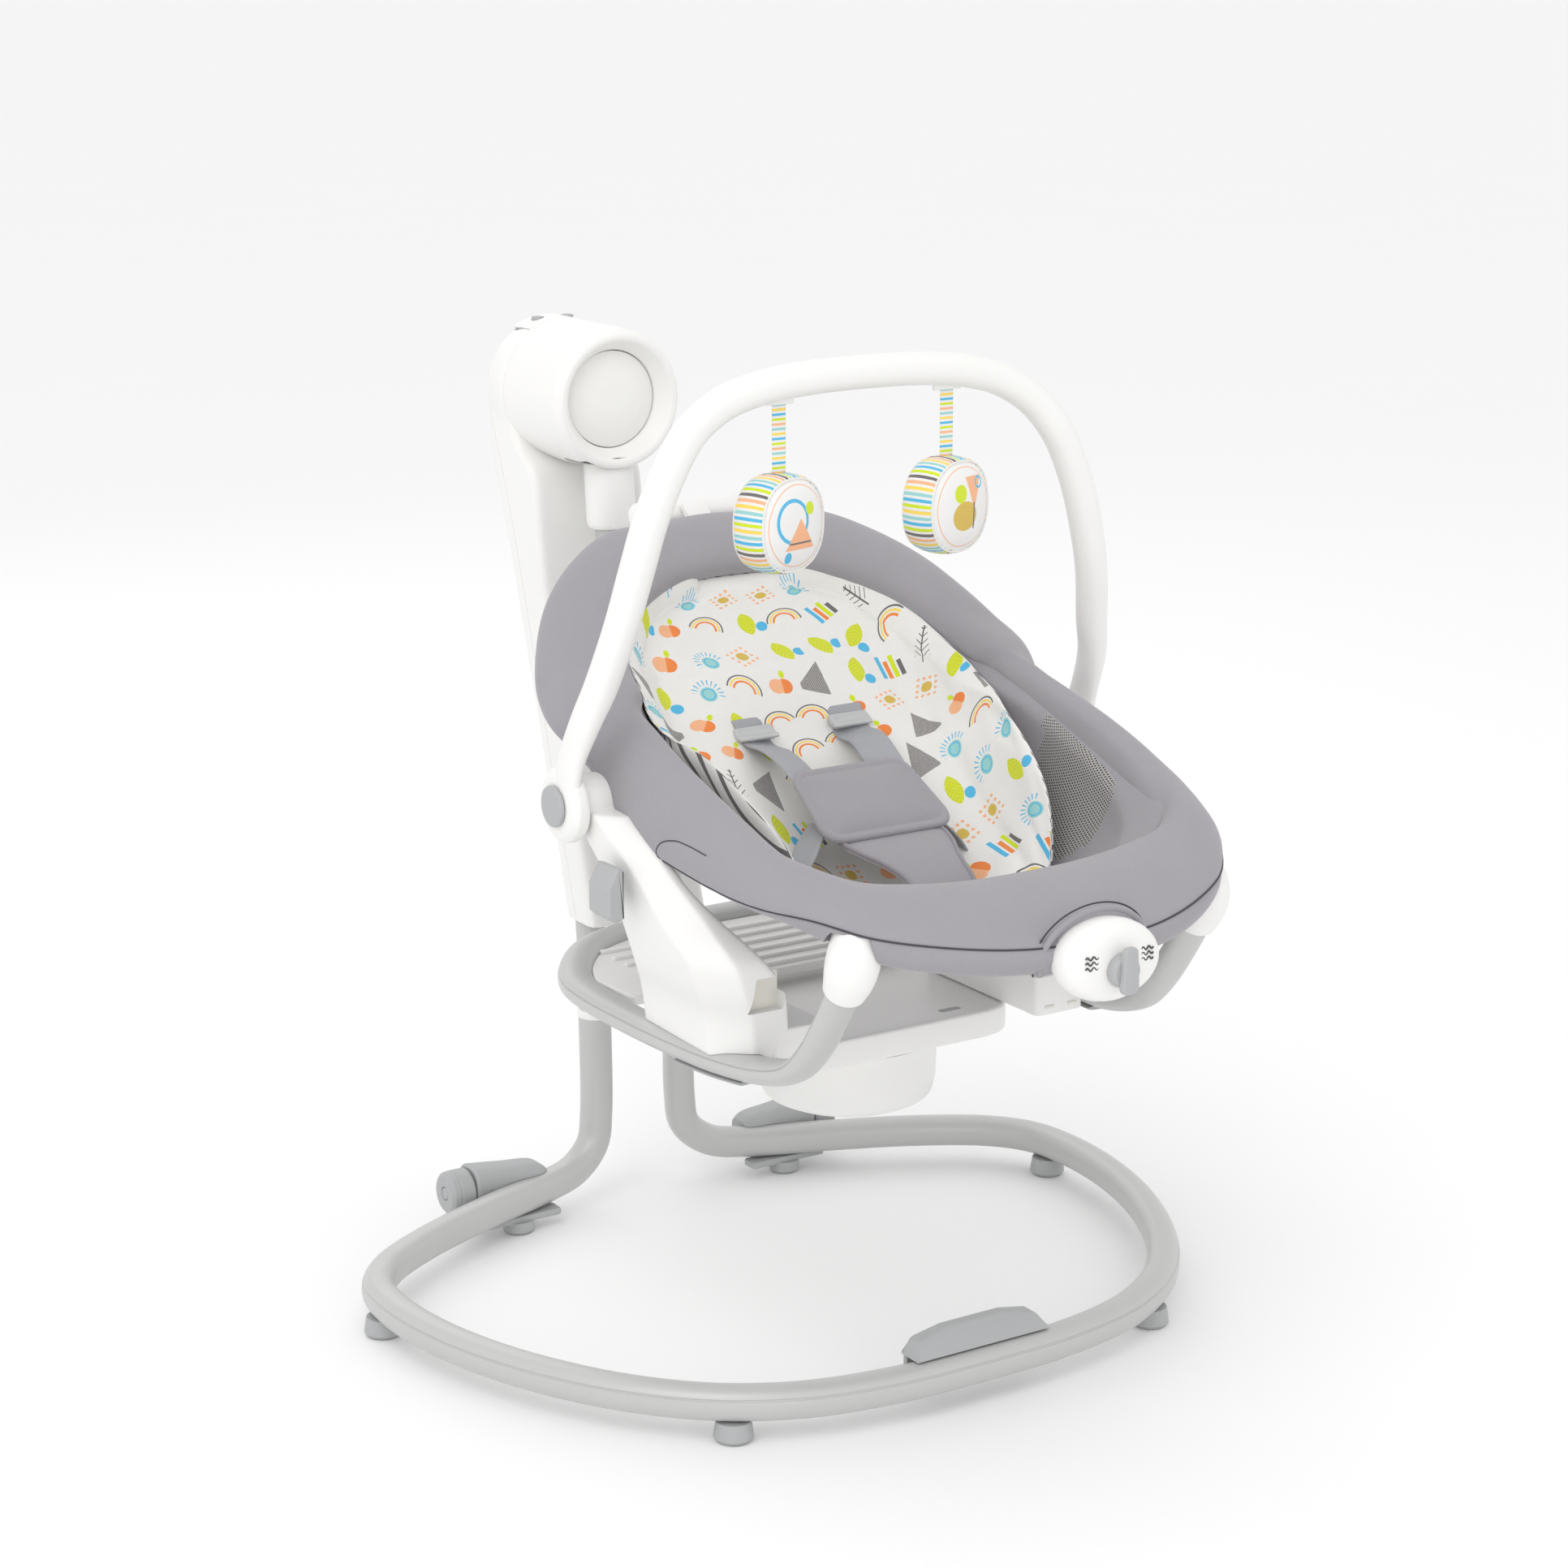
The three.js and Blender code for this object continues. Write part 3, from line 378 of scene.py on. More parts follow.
STRIPED = banded("striped_lining", 0.0075, ["gray", "none"], slant=0.5)
POD_TINTS = ["blue", "lime", "gray", "peach", "yellow", "teal"]
POD_STRIPES = banded("striped_pod_side", 0.0052, POD_TINTS, share=0.56)
RIBBON = banded("striped_ribbon", 0.004, ["teal", "yellow", "blue", "lime", "peach"], share=0.5)
STEEL = paint_on_steel("plain_steel", (0.45, 0.46, 0.47))
BOARD = plastic("green_board", (0.05, 0.16, 0.08), 0.4, 0.55)
WEB_PLASTIC = plastic("gray_harness_plastic", (0.50, 0.505, 0.51), 0.28, 0.4)
POD_CLOTH = knit("white_pod_cloth", (0.82, 0.81, 0.79), stitch=1500)
POD_FACE_A = pod_face("pod_face_hill", (
    (lambda u, v: (u + 5).length(v - 3).between(10.5, 12.6), "blue"),
    (lambda u, v: (abs(u - 1) < (v * -0.7 + 3)) * (v > -13), "peach"),
    (lambda u, v: (u - 9).length(v - 9) < 3.6, "lime"),
    (lambda u, v: (abs(u + 8) * 1.2).length(v + 17) < 3.2, "blue"),
    (lambda u, v: (abs(v + 9.4) < 0.5) * (abs(u - 1) < 9), "gray"),
))
POD_FACE_B = pod_face("pod_face_tree", (
    (lambda u, v: ((u + 1) * 0.8).length(v + 5) < 8.4, "mustard"),
    (lambda u, v: (u + 5).length(v - 8) < 5.2, "lime"),
    (lambda u, v: (abs(u - 7) < (v * 0.35 + 1)) * v.between(-2, 17), "peach"),
    (lambda u, v: (abs(u - 7) < 0.6) * v.between(-13, 2), "gray"),
    (lambda u, v: (u - 12).length(v - 13).between(2.4, 3.6), "blue"),
))


# ---- mesh helpers -------------------------------------------------------------------------------
def smooth(rows, count, closed=False):
    """count rows along a centripetal Catmull-Rom curve through the given ones, evenly spaced by length."""
    rows = np.asarray(rows, float)
    steps = 16  # samples between two given rows
    if closed:
        around = np.vstack([rows[-1:], rows, rows[:2]])
    else:
        around = np.vstack([2 * rows[:1] - rows[1:2], rows, 2 * rows[-1:] - rows[-2:-1]])
    fine = []
    for i in range(len(rows) if closed else len(rows) - 1):
        p = around[i : i + 4]
        gaps = np.sqrt(np.linalg.norm(np.diff(p[:, :3], axis=0), axis=1)) + 1e-9
        t = np.concatenate([[0], np.cumsum(gaps)])
        s = np.linspace(t[1], t[2], steps, endpoint=False)[:, None]
        a = [((t[k + 1] - s) * p[k] + (s - t[k]) * p[k + 1]) / (t[k + 1] - t[k]) for k in range(3)]
        b = [((t[k + 2] - s) * a[k] + (s - t[k]) * a[k + 1]) / (t[k + 2] - t[k]) for k in range(2)]
        fine.append(((t[2] - s) * b[0] + (s - t[1]) * b[1]) / (t[2] - t[1]))
    fine = np.vstack(fine + [rows[:1] if closed else rows[-1:]])
    length = np.concatenate([[0], np.cumsum(np.linalg.norm(np.diff(fine[:, :3], axis=0), axis=1))])
    at = np.linspace(0, length[-1], count, endpoint=not closed)
    return np.stack([np.interp(at, length, column) for column in fine.T], axis=1)


def placed(points):
    """Design millimetres to frame metres, for an array of points."""
    return np.asarray(points, float) * MM + np.array([0, SHIFT, 0])


def unplaced(co):
    """A point of the frame in design millimetres."""
    return Vector(co) / MM - Vector((0, SHIFT / MM, 0))


def tidy(obj, sharp):
    """Outward normals, smooth faces, and crease edges only where the surface really turns."""
    bm = bmesh.new()
    bm.from_mesh(obj.data)
    bmesh.ops.remove_doubles(bm, verts=bm.verts, dist=1e-6)
    bmesh.ops.recalc_face_normals(bm, faces=bm.faces)
    limit = math.radians(sharp)
    for face in bm.faces:
        face.smooth = True
    for edge in bm.edges:
        edge.smooth = len(edge.link_faces) != 2 or edge.calc_face_angle(0) < limit
    bm.to_mesh(obj.data)
    bm.free()
    return obj


def piece(name, verts, faces, material, uvs=None):
    mesh = bpy.data.meshes.new(name)
    mesh.from_pydata([tuple(v) for v in verts], [], faces)
    if uvs is not None:
        layer = mesh.uv_layers.new(name="cloth")
        layer.data.foreach_set("uv", np.asarray(uvs, np.float32).ravel())
    obj = bpy.data.objects.new(name, mesh)
    bpy.context.scene.collection.objects.link(obj)
    mesh.materials.append(material)
    return obj


def skin(name, rings, material, closed=False, caps=True, sharp=32):
    """A surface over rings of equal length in frame metres, with UVs in metres along and round it."""
    rings = np.asarray(rings, float)
    m, n = rings.shape[:2]
    rows = np.vstack([rings, rings[:1]]) if closed else rings
    cols = np.concatenate([rings, rings[:, :1]], axis=1)
    along = np.concatenate([[0], np.cumsum(np.linalg.norm(np.diff(rows.mean(1), axis=0), axis=1))])
    round_ = np.concatenate([[0], np.cumsum(np.linalg.norm(np.diff(cols, axis=1), axis=2).mean(0))])
    faces, uvs = [], []
    for i in range(m if closed else m - 1):
        k = (i + 1) % m
        for j in range(n):
            q = (j + 1) % n
            faces.append((i * n + j, i * n + q, k * n + q, k * n + j))
            uvs += [(along[i], round_[j]), (along[i], round_[j + 1])]
            uvs += [(along[i + 1], round_[j + 1]), (along[i + 1], round_[j])]
    if caps and not closed:
        for i in (0, m - 1):
            faces.append(tuple(range(i * n, i * n + n)))
            uvs += [(along[i], v) for v in round_[:n]]
    return tidy(piece(name, rings.reshape(-1, 3), faces, material, uvs), sharp)


def fillet(points, radius, steps=5, closed=False):
    """A polyline with its corners rounded. A point may carry its own radius as a third number."""
    out = []
    n = len(points)
    for i, point in enumerate(points):
        here = Vector(point[:2])
        r = point[2] if len(point) > 2 else radius
        if (not closed and i in (0, n - 1)) or r <= 0:
            out.append(tuple(here))
            continue
        a, b = Vector(points[i - 1][:2]) - here, Vector(points[(i + 1) % n][:2]) - here
        half = a.angle(b) / 2
        if half > math.pi / 2 - 0.02:
            out.append(tuple(here))
            continue
        back = min(r / math.tan(half), a.length * 0.49, b.length * 0.49)
        start, end = here + a.normalized() * back, here + b.normalized() * back
        for k in range(steps + 1):
            t = k / steps
            out.append(tuple((1 - t) ** 2 * start + 2 * t * (1 - t) * here + t * t * end))
    return out


def rounded_box(hx, hy, radius, steps=6):
    return fillet([(hx, -hy), (hx, hy), (-hx, hy), (-hx, -hy)], radius, steps, closed=True)


def turned(name, profile, centre, axis, material, sides=80, radius=1.2):
    """A piece turned round the axis "x", "y" or "z" through centre, from (radius, height) pairs, all in mm."""
    points = fillet(profile, radius)
    angles = np.linspace(0, 2 * math.pi, sides, endpoint=False)
    rings = []
    for r, h in points:
        ring = {
            "x": lambda c, s: (h, r * c, r * s),
            "y": lambda c, s: (r * c, h, r * s),
            "z": lambda c, s: (r * c, r * s, h),
        }[axis]
        rings.append([ring(math.cos(a), math.sin(a)) for a in angles])
    rings = np.array(rings) + np.array(centre)
    on_axis = points[0][0] < 1e-6
    closed = not on_axis and math.dist(points[0], points[-1]) < 1e-6
    return skin(name, placed(rings[:-1] if closed else rings), material, closed=closed, caps=not closed)


def outward(outline):
    """An outline's points as an array, and the direction out of it at each."""
    points = np.array([p[:2] for p in outline], float)
    ahead, behind = np.roll(points, -1, 0), np.roll(points, 1, 0)
    tangent = ahead - behind
    normal = np.stack([tangent[:, 1], -tangent[:, 0]], 1) / np.linalg.norm(tangent, axis=1)[:, None]
    return points, normal * np.sign(np.sum(points[:, 0] * ahead[:, 1] - points[:, 1] * ahead[:, 0]))


def slab(name, outline, low, high, bevel, material, matrix=None, sharp=32):
    """An outline in mm, raised from low to high with rounded edges, then placed by a matrix in mm."""
    points, normal = outward(outline)
    quarter = [k / 5 * math.pi / 2 for k in range(6)]
    rings = []
    for level, towards, turns in ((low, 1, quarter), (high, -1, quarter[::-1])):
        for a in turns:
            inset = bevel * (1 - math.sin(a))
            height = level + towards * bevel * (1 - math.cos(a))
            rings.append(np.column_stack([points - normal * inset, np.full(len(points), height)]))
    if matrix is not None:
        rings = at_place(rings, matrix)
    return skin(name, placed(rings), material, sharp=sharp)


def stood_up(x, y, z, way=1):
    """A place for a slab that stands: outline in X and Z, height along Y, or against Y when way is -1."""
    return Matrix(((1, 0, 0, x), (0, 0, way, y), (0, 1, 0, z), (0, 0, 0, 1)))


def at_place(rings, matrix):
    """Rings of points moved by a matrix."""
    return np.einsum("ij,mnj->mni", np.array(matrix.to_3x3()), np.array(rings)) + np.array(matrix.translation)


def path_frames(path, start):
    """Tangent and two square directions at each point, carried along without twist from start."""
    path = np.asarray(path, float)
    tangent = np.gradient(path, axis=0)
    tangent /= np.linalg.norm(tangent, axis=1)[:, None]
    normal = np.array(start, float)
    out = []
    for t in tangent:
        normal = normal - t * normal.dot(t)
        normal /= np.linalg.norm(normal)
        out.append((normal, np.cross(t, normal)))
    return out


def sweep(name, path, section, start, material, mirror=False, closed_ends=True, sharp=40):
    """A section in mm carried along a path in mm: a list of (a, b), or a function of the share of the way."""
    rings = []
    for i, (point, (a, b)) in enumerate(zip(path, path_frames(path, start))):
        ring = section(i / (len(path) - 1)) if callable(section) else section
        rings.append([point + a * u + b * v for u, v in ring])
    rings = np.array(rings)
    if mirror:
        other = rings[1:] * np.array([-1, 1, 1])
        rings = np.concatenate([other[::-1], rings])
    return skin(name, placed(rings), material, caps=closed_ends, sharp=sharp)


def oval(a, b, count=40, power=2.0, groove=None):
    """A superellipse section, with an engraved line at the angle groove, in degrees."""
    out = []
    angles = list(np.linspace(0, 360, count, endpoint=False))
    if groove is not None:
        angles = sorted(set(angles) | {groove - 4.5, groove - 1.5, groove + 1.5, groove + 4.5})
    for degrees in angles:
        c, s = math.cos(math.radians(degrees)), math.sin(math.radians(degrees))
        k = (abs(c) ** power + abs(s) ** power) ** (-1 / power)
        if groove is not None and abs(degrees - groove) < 2:
            k *= 0.945
        out.append((a * k * c, b * k * s))
    return out


def settle(obj, sharp):
    """Applies an object's modifiers to its mesh."""
    evaluated = obj.evaluated_get(bpy.context.evaluated_depsgraph_get())
    mesh = bpy.data.meshes.new_from_object(evaluated)
    obj.modifiers.clear()
    obj.data = mesh
    return tidy(obj, sharp)


def remove(*objects):
    for obj in objects:
        bpy.data.objects.remove(obj, do_unlink=True)


def carve(obj, *tools, operation="DIFFERENCE", sharp=32):
    for tool in tools:
        modifier = obj.modifiers.new("cut", "BOOLEAN")
        modifier.operation = operation
        modifier.solver = "EXACT"
        modifier.object = tool
    settle(obj, sharp)
    remove(*tools)
    return obj


def fused(obj, voxel, rounds, sharp=50):
    """One closed skin over an object's overlapping shells, lightly smoothed."""
    remesh = obj.modifiers.new("fuse", "REMESH")
    remesh.mode = "VOXEL"
    remesh.voxel_size = voxel * MM
    soften = obj.modifiers.new("soften", "SMOOTH")
    soften.factor = 0.5
    soften.iterations = rounds
    return settle(obj, sharp)


def joined(name, *objects):
    """Several objects as one, keeping their material slots."""
    first = objects[0]
    with bpy.context.temp_override(active_object=first, selected_editable_objects=list(objects)):
        bpy.ops.object.join()
    first.name = name
    return first


def copy_of(obj, name):
    copy = obj.copy()
    copy.data = obj.data.copy()
    copy.name = name
    bpy.context.scene.collection.objects.link(copy)
    return copy


def flip_side(obj):
    """Moves a piece to the other side of the swing."""
    obj.data.transform(Matrix.Diagonal((-1, 1, 1, 1)))
    obj.data.flip_normals()
    return obj


def box_tool(x0, x1, y0, y1, z0, z1, bevel=2.0):
    """A cutter: a block in mm with rounded upright edges."""
    outline = rounded_box((x1 - x0) / 2, (y1 - y0) / 2, bevel, 4)
    place = Matrix.Translation(((x0 + x1) / 2, (y0 + y1) / 2, 0))
    return slab("tool", outline, z0, z1, min(0.6, (z1 - z0) / 4), WHITE, place)


def bore_tool(radius, low, high, centre, axis, sides=40):
    """A cutter: a plain cylinder in mm."""
    return turned("tool", [(0, low), (radius, low), (radius, high), (0, high)], centre, axis, WHITE, sides, 0.1)


def put(obj, body, slot, *nodes):
    """A finished piece goes with a body and stands for CAD nodes, which it hides. The slot argument is not used.
    """
    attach(obj, body)
    if nodes:
        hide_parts(*nodes)


def pair(right, name, body, slot):
    """A right-hand piece and its mirror image, each for its own node; {} in name or body is the side."""
    right.name = name.format("right") + "_fine"
    left = flip_side(copy_of(right, name.format("left") + "_fine"))
    put(right, body.format("right"), slot, name.format("right"))
    put(left, body.format("left"), slot, name.format("left"))


# ---- camera, floor and light --------------------------------------------------------------------
def studio():
    scene = bpy.context.scene
    camera = bpy.data.objects.new("camera", bpy.data.cameras.new("camera"))
    scene.collection.objects.link(camera)
    azimuth, elevation = math.radians(-32.68), math.radians(14.5)
    camera.location = (-1.5767, -2.4319, 1.2246)
    camera.rotation_euler = (math.pi / 2 - elevation, 0, azimuth)
    camera.data.sensor_width = 36
    camera.data.lens = 78.2
    camera.data.clip_end = 200
    scene.camera = camera
    scene.view_settings.view_transform = "Standard"

    angles = np.linspace(0, 2 * math.pi, 96, endpoint=False)
    rings = [[(r * math.cos(a), r * math.sin(a), -0.0004) for a in angles] for r in (0.001, 1, 4, 20, 90)]
    floor_look = Shader("pale_floor", (0.93, 0.93, 0.93), 0.9)
    floor_look.mottle(1.5, 0.004)
    floor = skin("floor", rings, floor_look.material, caps=False)

    world = bpy.data.worlds.new("studio")
    world.use_nodes = True
    background = world.node_tree.nodes["Background"]
    background.inputs["Color"].default_value = (1, 1, 1, 1)
    background.inputs["Strength"].default_value = 0.98
    scene.world = world

    def area(name, place, size, power):
        lamp = bpy.data.lights.new(name, "AREA")
        lamp.size, lamp.energy = size, power
        obj = bpy.data.objects.new(name, lamp)
        scene.collection.objects.link(obj)
        obj.location = place
        obj.rotation_euler = (Vector((0, 0, 0.4)) - Vector(place)).to_track_quat("-Z", "Y").to_euler()

    area("key", (-2.2, -1.6, 3.4), 2.4, 34)
    area("back_light", (0.6, 2.8, 2.4), 2.0, 8)
    area("low_fill", (-1.5, -2.6, 0.55), 1.6, 7)


# ---- floor base ---------------------------------------------------------------------------------
BASE_PATH = [
    (0, -396, 33), (85, -393, 33), (165, -376, 33), (230, -340, 33), (280, -289, 33), (320, -225, 33),
    (349, -155, 33), (365, -85, 33), (368, -25, 33), (360, 20, 33), (334, 56, 33), (277, 94, 33), (190, 133, 33),
    (110, 162, 33.5), (75, 172, 40), (52, 178, 60), (47, 179, 90), (47, 179, 195),
]


def lean_back(co):
    """Slopes the front face of the cover, more the higher it is."""
    y, z = (co[:, 1] - SHIFT) / MM, co[:, 2] / MM
    co[:, 1] += np.clip((-380 - y) / 18, 0, 1) * np.clip(z - 50, 0, 30) * 0.85 * MM
    return co


def floor_base():
    path = smooth(BASE_PATH, 190)
    tube = sweep("base_tube_fine", path, oval(15, 15, 44, 2.35, groove=334), (0, -1, 0), PALE, mirror=True)
    put(tube, "base", "pale_gray_tube", "base_tube")

    corners = [(-68, 49.4, 0), (68, 49.4, 0), (60, 63, 9), (30, 68.5, 30), (-30, 68.5, 30), (-60, 63, 9)]
    outline = fillet(corners, 6, 6, closed=True)
    hood = slab("base_cover_fine", outline, 0, 26, 1.8, GRAY, stood_up(0, -373, 0, -1))
    edit_points(hood, lean_back)
    clip = slab("clip", rounded_box(66, 15, 2), -378, -373, 0.6, GRAY, stood_up(0, 0, 35))
    put(joined("base_cover_fine", hood, clip), "base", "gray_plastic", "base_cover")

    foot_profile = [(0, 0), (14, 0), (17, 3.4), (15, 17.4), (0, 17.4)]
    for label, x, y in (("side", 366, 0), ("front", 218, -348)):
        foot = turned("foot", foot_profile, (x, y, 0), "z", GRAY, 48)
        pair(foot, "foot_" + label + "_{}", "base", "gray_plastic")
    disc = turned("pad", [(0, 0), (12.5, 0), (15, 2.5), (15, 12), (0, 12)], (150, 149, 0), "z", GRAY, 48)
    block = slab("block", rounded_box(42, 9.5, 4), 11, 17.4, 1.5, GRAY, Matrix.Translation((150, 148.5, 0)))
    pair(joined("foot_rear", disc, block), "foot_rear_{}", "base", "gray_plastic")
    rollers()

    stations = [(47, 179 + max(0, z - 205) * 0.09, z) for z in (203.4, 215, 260, 320, 360)]
    tube = sweep("upright", smooth(stations, 24), oval(13.5, 13.5, 40, 2.2), (0, -1, 0), PALE)
    profile = [(13, 188.3), (16.2, 188.3), (16.8, 192.5), (16.2, 196.6), (13, 196.6), (13, 188.3)]
    collar = turned("collar", profile, (47, 179, 0), "z", WHITE, 56, radius=1.4)
    pair(joined("upright", tube, collar), "upright_{}", "base", "pale_gray_tube")


def rollers():
    """The tapered housings behind the tube and the floor rollers on their ends."""
    stations = [  # x, half depth, half height, height of the middle
        (112, 13, 10, 42), (120, 16, 14, 43), (150, 17.2, 17, 44), (180, 19.6, 20.4, 44), (188, 20, 21, 44),
        (190, 18.6, 19.6, 44),
    ]
    rings = []
    for x, hy, hz, middle in smooth(stations, 30):
        section = rounded_box(hy, hz, min(hy, hz) * 0.75, 6)
        rings.append([(x, 173 + a, middle + b) for a, b in section])
    housing = skin("housing", placed(rings), GRAY)
    path = smooth(BASE_PATH, 190)[120:175]
    room = sweep("room", path, oval(15.4, 15.4, 32, 2.35), (0, -1, 0), GRAY)
    carve(housing, room)
    pair(housing, "roller_housing_{}", "base", "gray_plastic")
    tread = [(6.5, 191.2), (19, 191.2), (21, 193.5), (21, 206), (20.3, 207, 0.3), (21, 208, 0.3),
             (20.2, 213.5, 2.5), (17, 216), (6.5, 216), (6.5, 191.2)]
    roller = turned("roller", tread, (0, 173, 43), "x", GRAY, 64)
    hub = turned("hub", [(0, 213), (5.8, 213), (5.8, 215.4), (0, 215.4)], (0, 173, 43), "x", GRAY, 32, radius=0.5)
    pair(joined("roller", roller, hub), "roller_{}", "roller_{}", "gray_plastic")


# ---- post and head ------------------------------------------------------------------------------
POST = [  # height, front face, rear face, half width
    (284, 150, 212, 64), (420, 194, 255, 62), (530, 229, 293, 60), (640, 252, 330, 59),
    (703, 262, 351, 60), (730, 290, 355, 61), (776, 303, 356, 62),
]


def post_and_head():
    rings = []
    for z, front, back, half in smooth(POST, 60):
        depth = (back - front) / 2
        corners = [(half, -depth, 9), (half, depth, 24), (-half, depth, 24), (-half, -depth, 9)]
        section = fillet(corners, 9, 6, closed=True)
        rings.append([(a, (front + back) / 2 + b, z) for a, b in section])
    column = skin("column", placed(rings), WHITE)
    drum = turned("drum", [(0, 302.2), (67, 302.2), (67, 318, 30), (63, 345, 22), (44, 360, 30), (0, 362)],
                  (0, 0, HEAD["z"]), "y", WHITE, 96, radius=12)
    body = fused(joined("post", column, drum), 2.2, rounds=6)
    face = P(0, 148, 0).y  # the foot of the post is flat in front
    for corner in body.data.vertices:
        corner.co.y = max(corner.co.y, face)

    def half_of(name, keep):
        half = copy_of(body, name)
        bm = bmesh.new()
        bm.from_mesh(half.data)
        normal = Vector((0, 1, -0.335)).normalized() * keep
        start = P(0, 181, 284) + normal * 0.25 * MM
        geometry = bm.verts[:] + bm.edges[:] + bm.faces[:]
        bmesh.ops.bisect_plane(bm, geom=geometry, plane_co=start, plane_no=normal, clear_inner=True)
        low = [f for f in bm.faces if f.calc_center_median().z < P(0, 0, 285.2).z and abs(f.normal.z) > 0.8]
        bmesh.ops.delete(bm, geom=low, context="FACES")
        bm.to_mesh(half.data)
        bm.free()
        wall = half.modifiers.new("wall", "SOLIDIFY")
        wall.thickness = HEAD["wall"] * MM
        wall.offset = -1
        return settle(half, 45)

    front = half_of("post_front_shell_fine", -1)
    rear = half_of("post_rear_shell_fine", 1)
    remove(body)
    door = copy_of(rear, "battery_door_fine")
    carve(door, box_tool(-33.5, 33.5, 298, 400, 560.5, 639.5, 4), operation="INTERSECT", sharp=40)
    carve(rear, box_tool(-34.1, 34.1, 298, 400, 559.9, 640.1, 4), sharp=40)
    for shell in (front, rear):
        carve(shell, box_tool(-34.6, 34.6, 308.4, 340.6, 820, 860, 1), sharp=40)
    put(front, "base", "white_plastic", "post_front_shell")
    put(rear, "base", "white_plastic", "post_rear_shell")
    put(door, "base", "white_plastic", "battery_door")

    profile = [
        (67, 301, 0.9), (67, 206, 16), (62, 196.4, 5), (56, 197, 5), (46.4, 212, 3), (45.2, 221, 0.6),
        (57, 221, 0.6), (62, 216, 3), (64, 222, 8), (64, 301, 0.4), (67, 301, 0.9),
    ]
    shell = turned("head_shell_fine", profile, (0, 0, HEAD["z"]), "y", WHITE, 128)
    carve(shell, box_tool(-38, 38, 199.6, 243.5, 690, 722.5, 9))
    put(shell, "base", "white_plastic", "head_shell")
    dome = [(0, 207.6), (16, 208.2, 12), (30, 210.2, 14), (40, 213.0, 6), (45.2, 214.6, 1), (45.2, 221), (0, 221)]
    cap = turned("head_cap_fine", dome, (0, 0, HEAD["z"]), "y", WHITE, 96)
    put(cap, "base", "white_plastic", "head_cap")
    controls()


def controls():
    radius = HEAD["radius"]
    outer, inner = radius + 0.4, radius - 2.9
    half = math.asin(34 / radius)
    rings = []
    arc = [half * k for k in np.linspace(-1, 1, 40)]
    for y, rim in ((309.2, 0.9), (310.0, 0.25), (311, 0), (338, 0), (339.1, 0.25), (339.9, 0.9)):
        top = [((outer - rim) * math.sin(a), y, HEAD["z"] + (outer - rim) * math.cos(a)) for a in arc]
        under = [(inner * math.sin(a), y, HEAD["z"] + inner * math.cos(a)) for a in arc[::-1]]
        rings.append(top + under)
    panel = skin("control_panel_fine", placed(rings), WHITE)
    carve(panel, *[bore_tool(6.4, 830, 850, (x, 325, 0), "z") for x in (-16, 16)])
    put(panel, "base", "white_plastic", "control_panel")
    for x, name in ((-16, "power_button"), (16, "speed_button")):
        top = HEAD["z"] + math.sqrt(radius**2 - x * x) + 2.2
        profile = [(0, top - 4), (6, top - 4, 0.3), (6, top, 1.2), (3.4, top, 0.6), (2.6, top - 0.4, 0.5),
                   (0, top - 0.4)]
        button = turned(name + "_fine", profile, (x, 325, 0), "z", GRAY, 40)
        put(button, name, "gray_plastic", name)


# ---- swing arm ----------------------------------------------------------------------------------
ARM_PATH = [
    (0, 221, 689.6), (0, 213, 640), (0, 187, 520), (0, 154, 420), (0, 122, 330), (0, 92, 279),
    (0, 50, 252), (0, -20, 243), (0, -80, 241), (0, -128, 241),
]


def swing_arm():
    tube = sweep("arm_tube_fine", smooth(ARM_PATH, 110), oval(15.9, 15.9, 44, 2.15), (1, 0, 0), PALE)
    put(tube, "swing_arm", "pale_gray_tube", "arm_tube")

    levels = [(216, 655, 21.5, 17.6), (216.2, 656.4, 22.8, 18.8), (216.6, 660, 23.8, 19.4), (217, 664, 23.8, 19.6),
              (221, 714, 23.9, 19.9), (221.2, 716, 22.9, 19)]
    rings = [[(a, y + b, z) for a, b in oval(hx, hy, 48, 2.2)] for y, z, hx, hy in levels]
    sleeve = skin("arm_sleeve_fine", placed(rings), WHITE)
    bore_path = smooth([(0, 206, 610), (0, 213, 640), (0, 221, 690), (0, 226, 730)], 20)
    carve(sleeve, sweep("tool", bore_path, oval(16.3, 16.3, 40, 2.15), (1, 0, 0), WHITE))
    put(sleeve, "swing_arm", "white_plastic", "arm_sleeve")

    y, z = DOCK
    cup = [(0, 210), (60, 210, 6), (74.5, 216.5, 10), (78, 232, 8), (79, 268, 0.8), (75.8, 268, 0.8),
           (75.5, 228, 4), (64, 215, 4), (0, 215)]
    hub = turned("cup", cup, (0, y, 0), "z", WHITE, 110)
    boss = turned("boss", [(0, -150), (22.5, -150), (23, -110, 2), (21.5, -92, 1.5), (17, -92), (0, -92)],
                  (0, 0, z), "y", WHITE, 56)
    carve(hub, boss, operation="UNION")
    carve(hub, bore_tool(16.4, -128.6, -60, (0, 0, z), "y", 48))
    put(hub, "swing_arm", "white_plastic", "dock_hub")

    outline = fillet([(125, -90, 46), (125, 90, 40), (-125, 90, 40), (-125, -90, 46)], 40, 12, closed=True)
    top = slab("dock_plate_fine", outline, 272, 297, 3.4, WHITE, Matrix.Translation((0, y, 0)))
    carve(top, *[box_tool(x - 11, x + 11, y - 74, y - 66, 294.6, 300, 3.5) for x in (-60, 60)])
    latches = []
    for x, material in ((-60, INK), (60, GRAY)):
        place = Matrix.Translation((x, y - 70, 0))
        latches.append(slab("latch", rounded_box(9.5, 2.9, 2.6), 294.4, 296.8, 0.8, material, place))
    spindle = turned("spindle", [(0, 221), (12, 221), (12, 274), (0, 274)], (0, y, 0), "z", WHITE, 40, 0.4)
    put(joined("dock_plate_fine", top, *latches, spindle), "turntable", "white_plastic", "dock_plate")


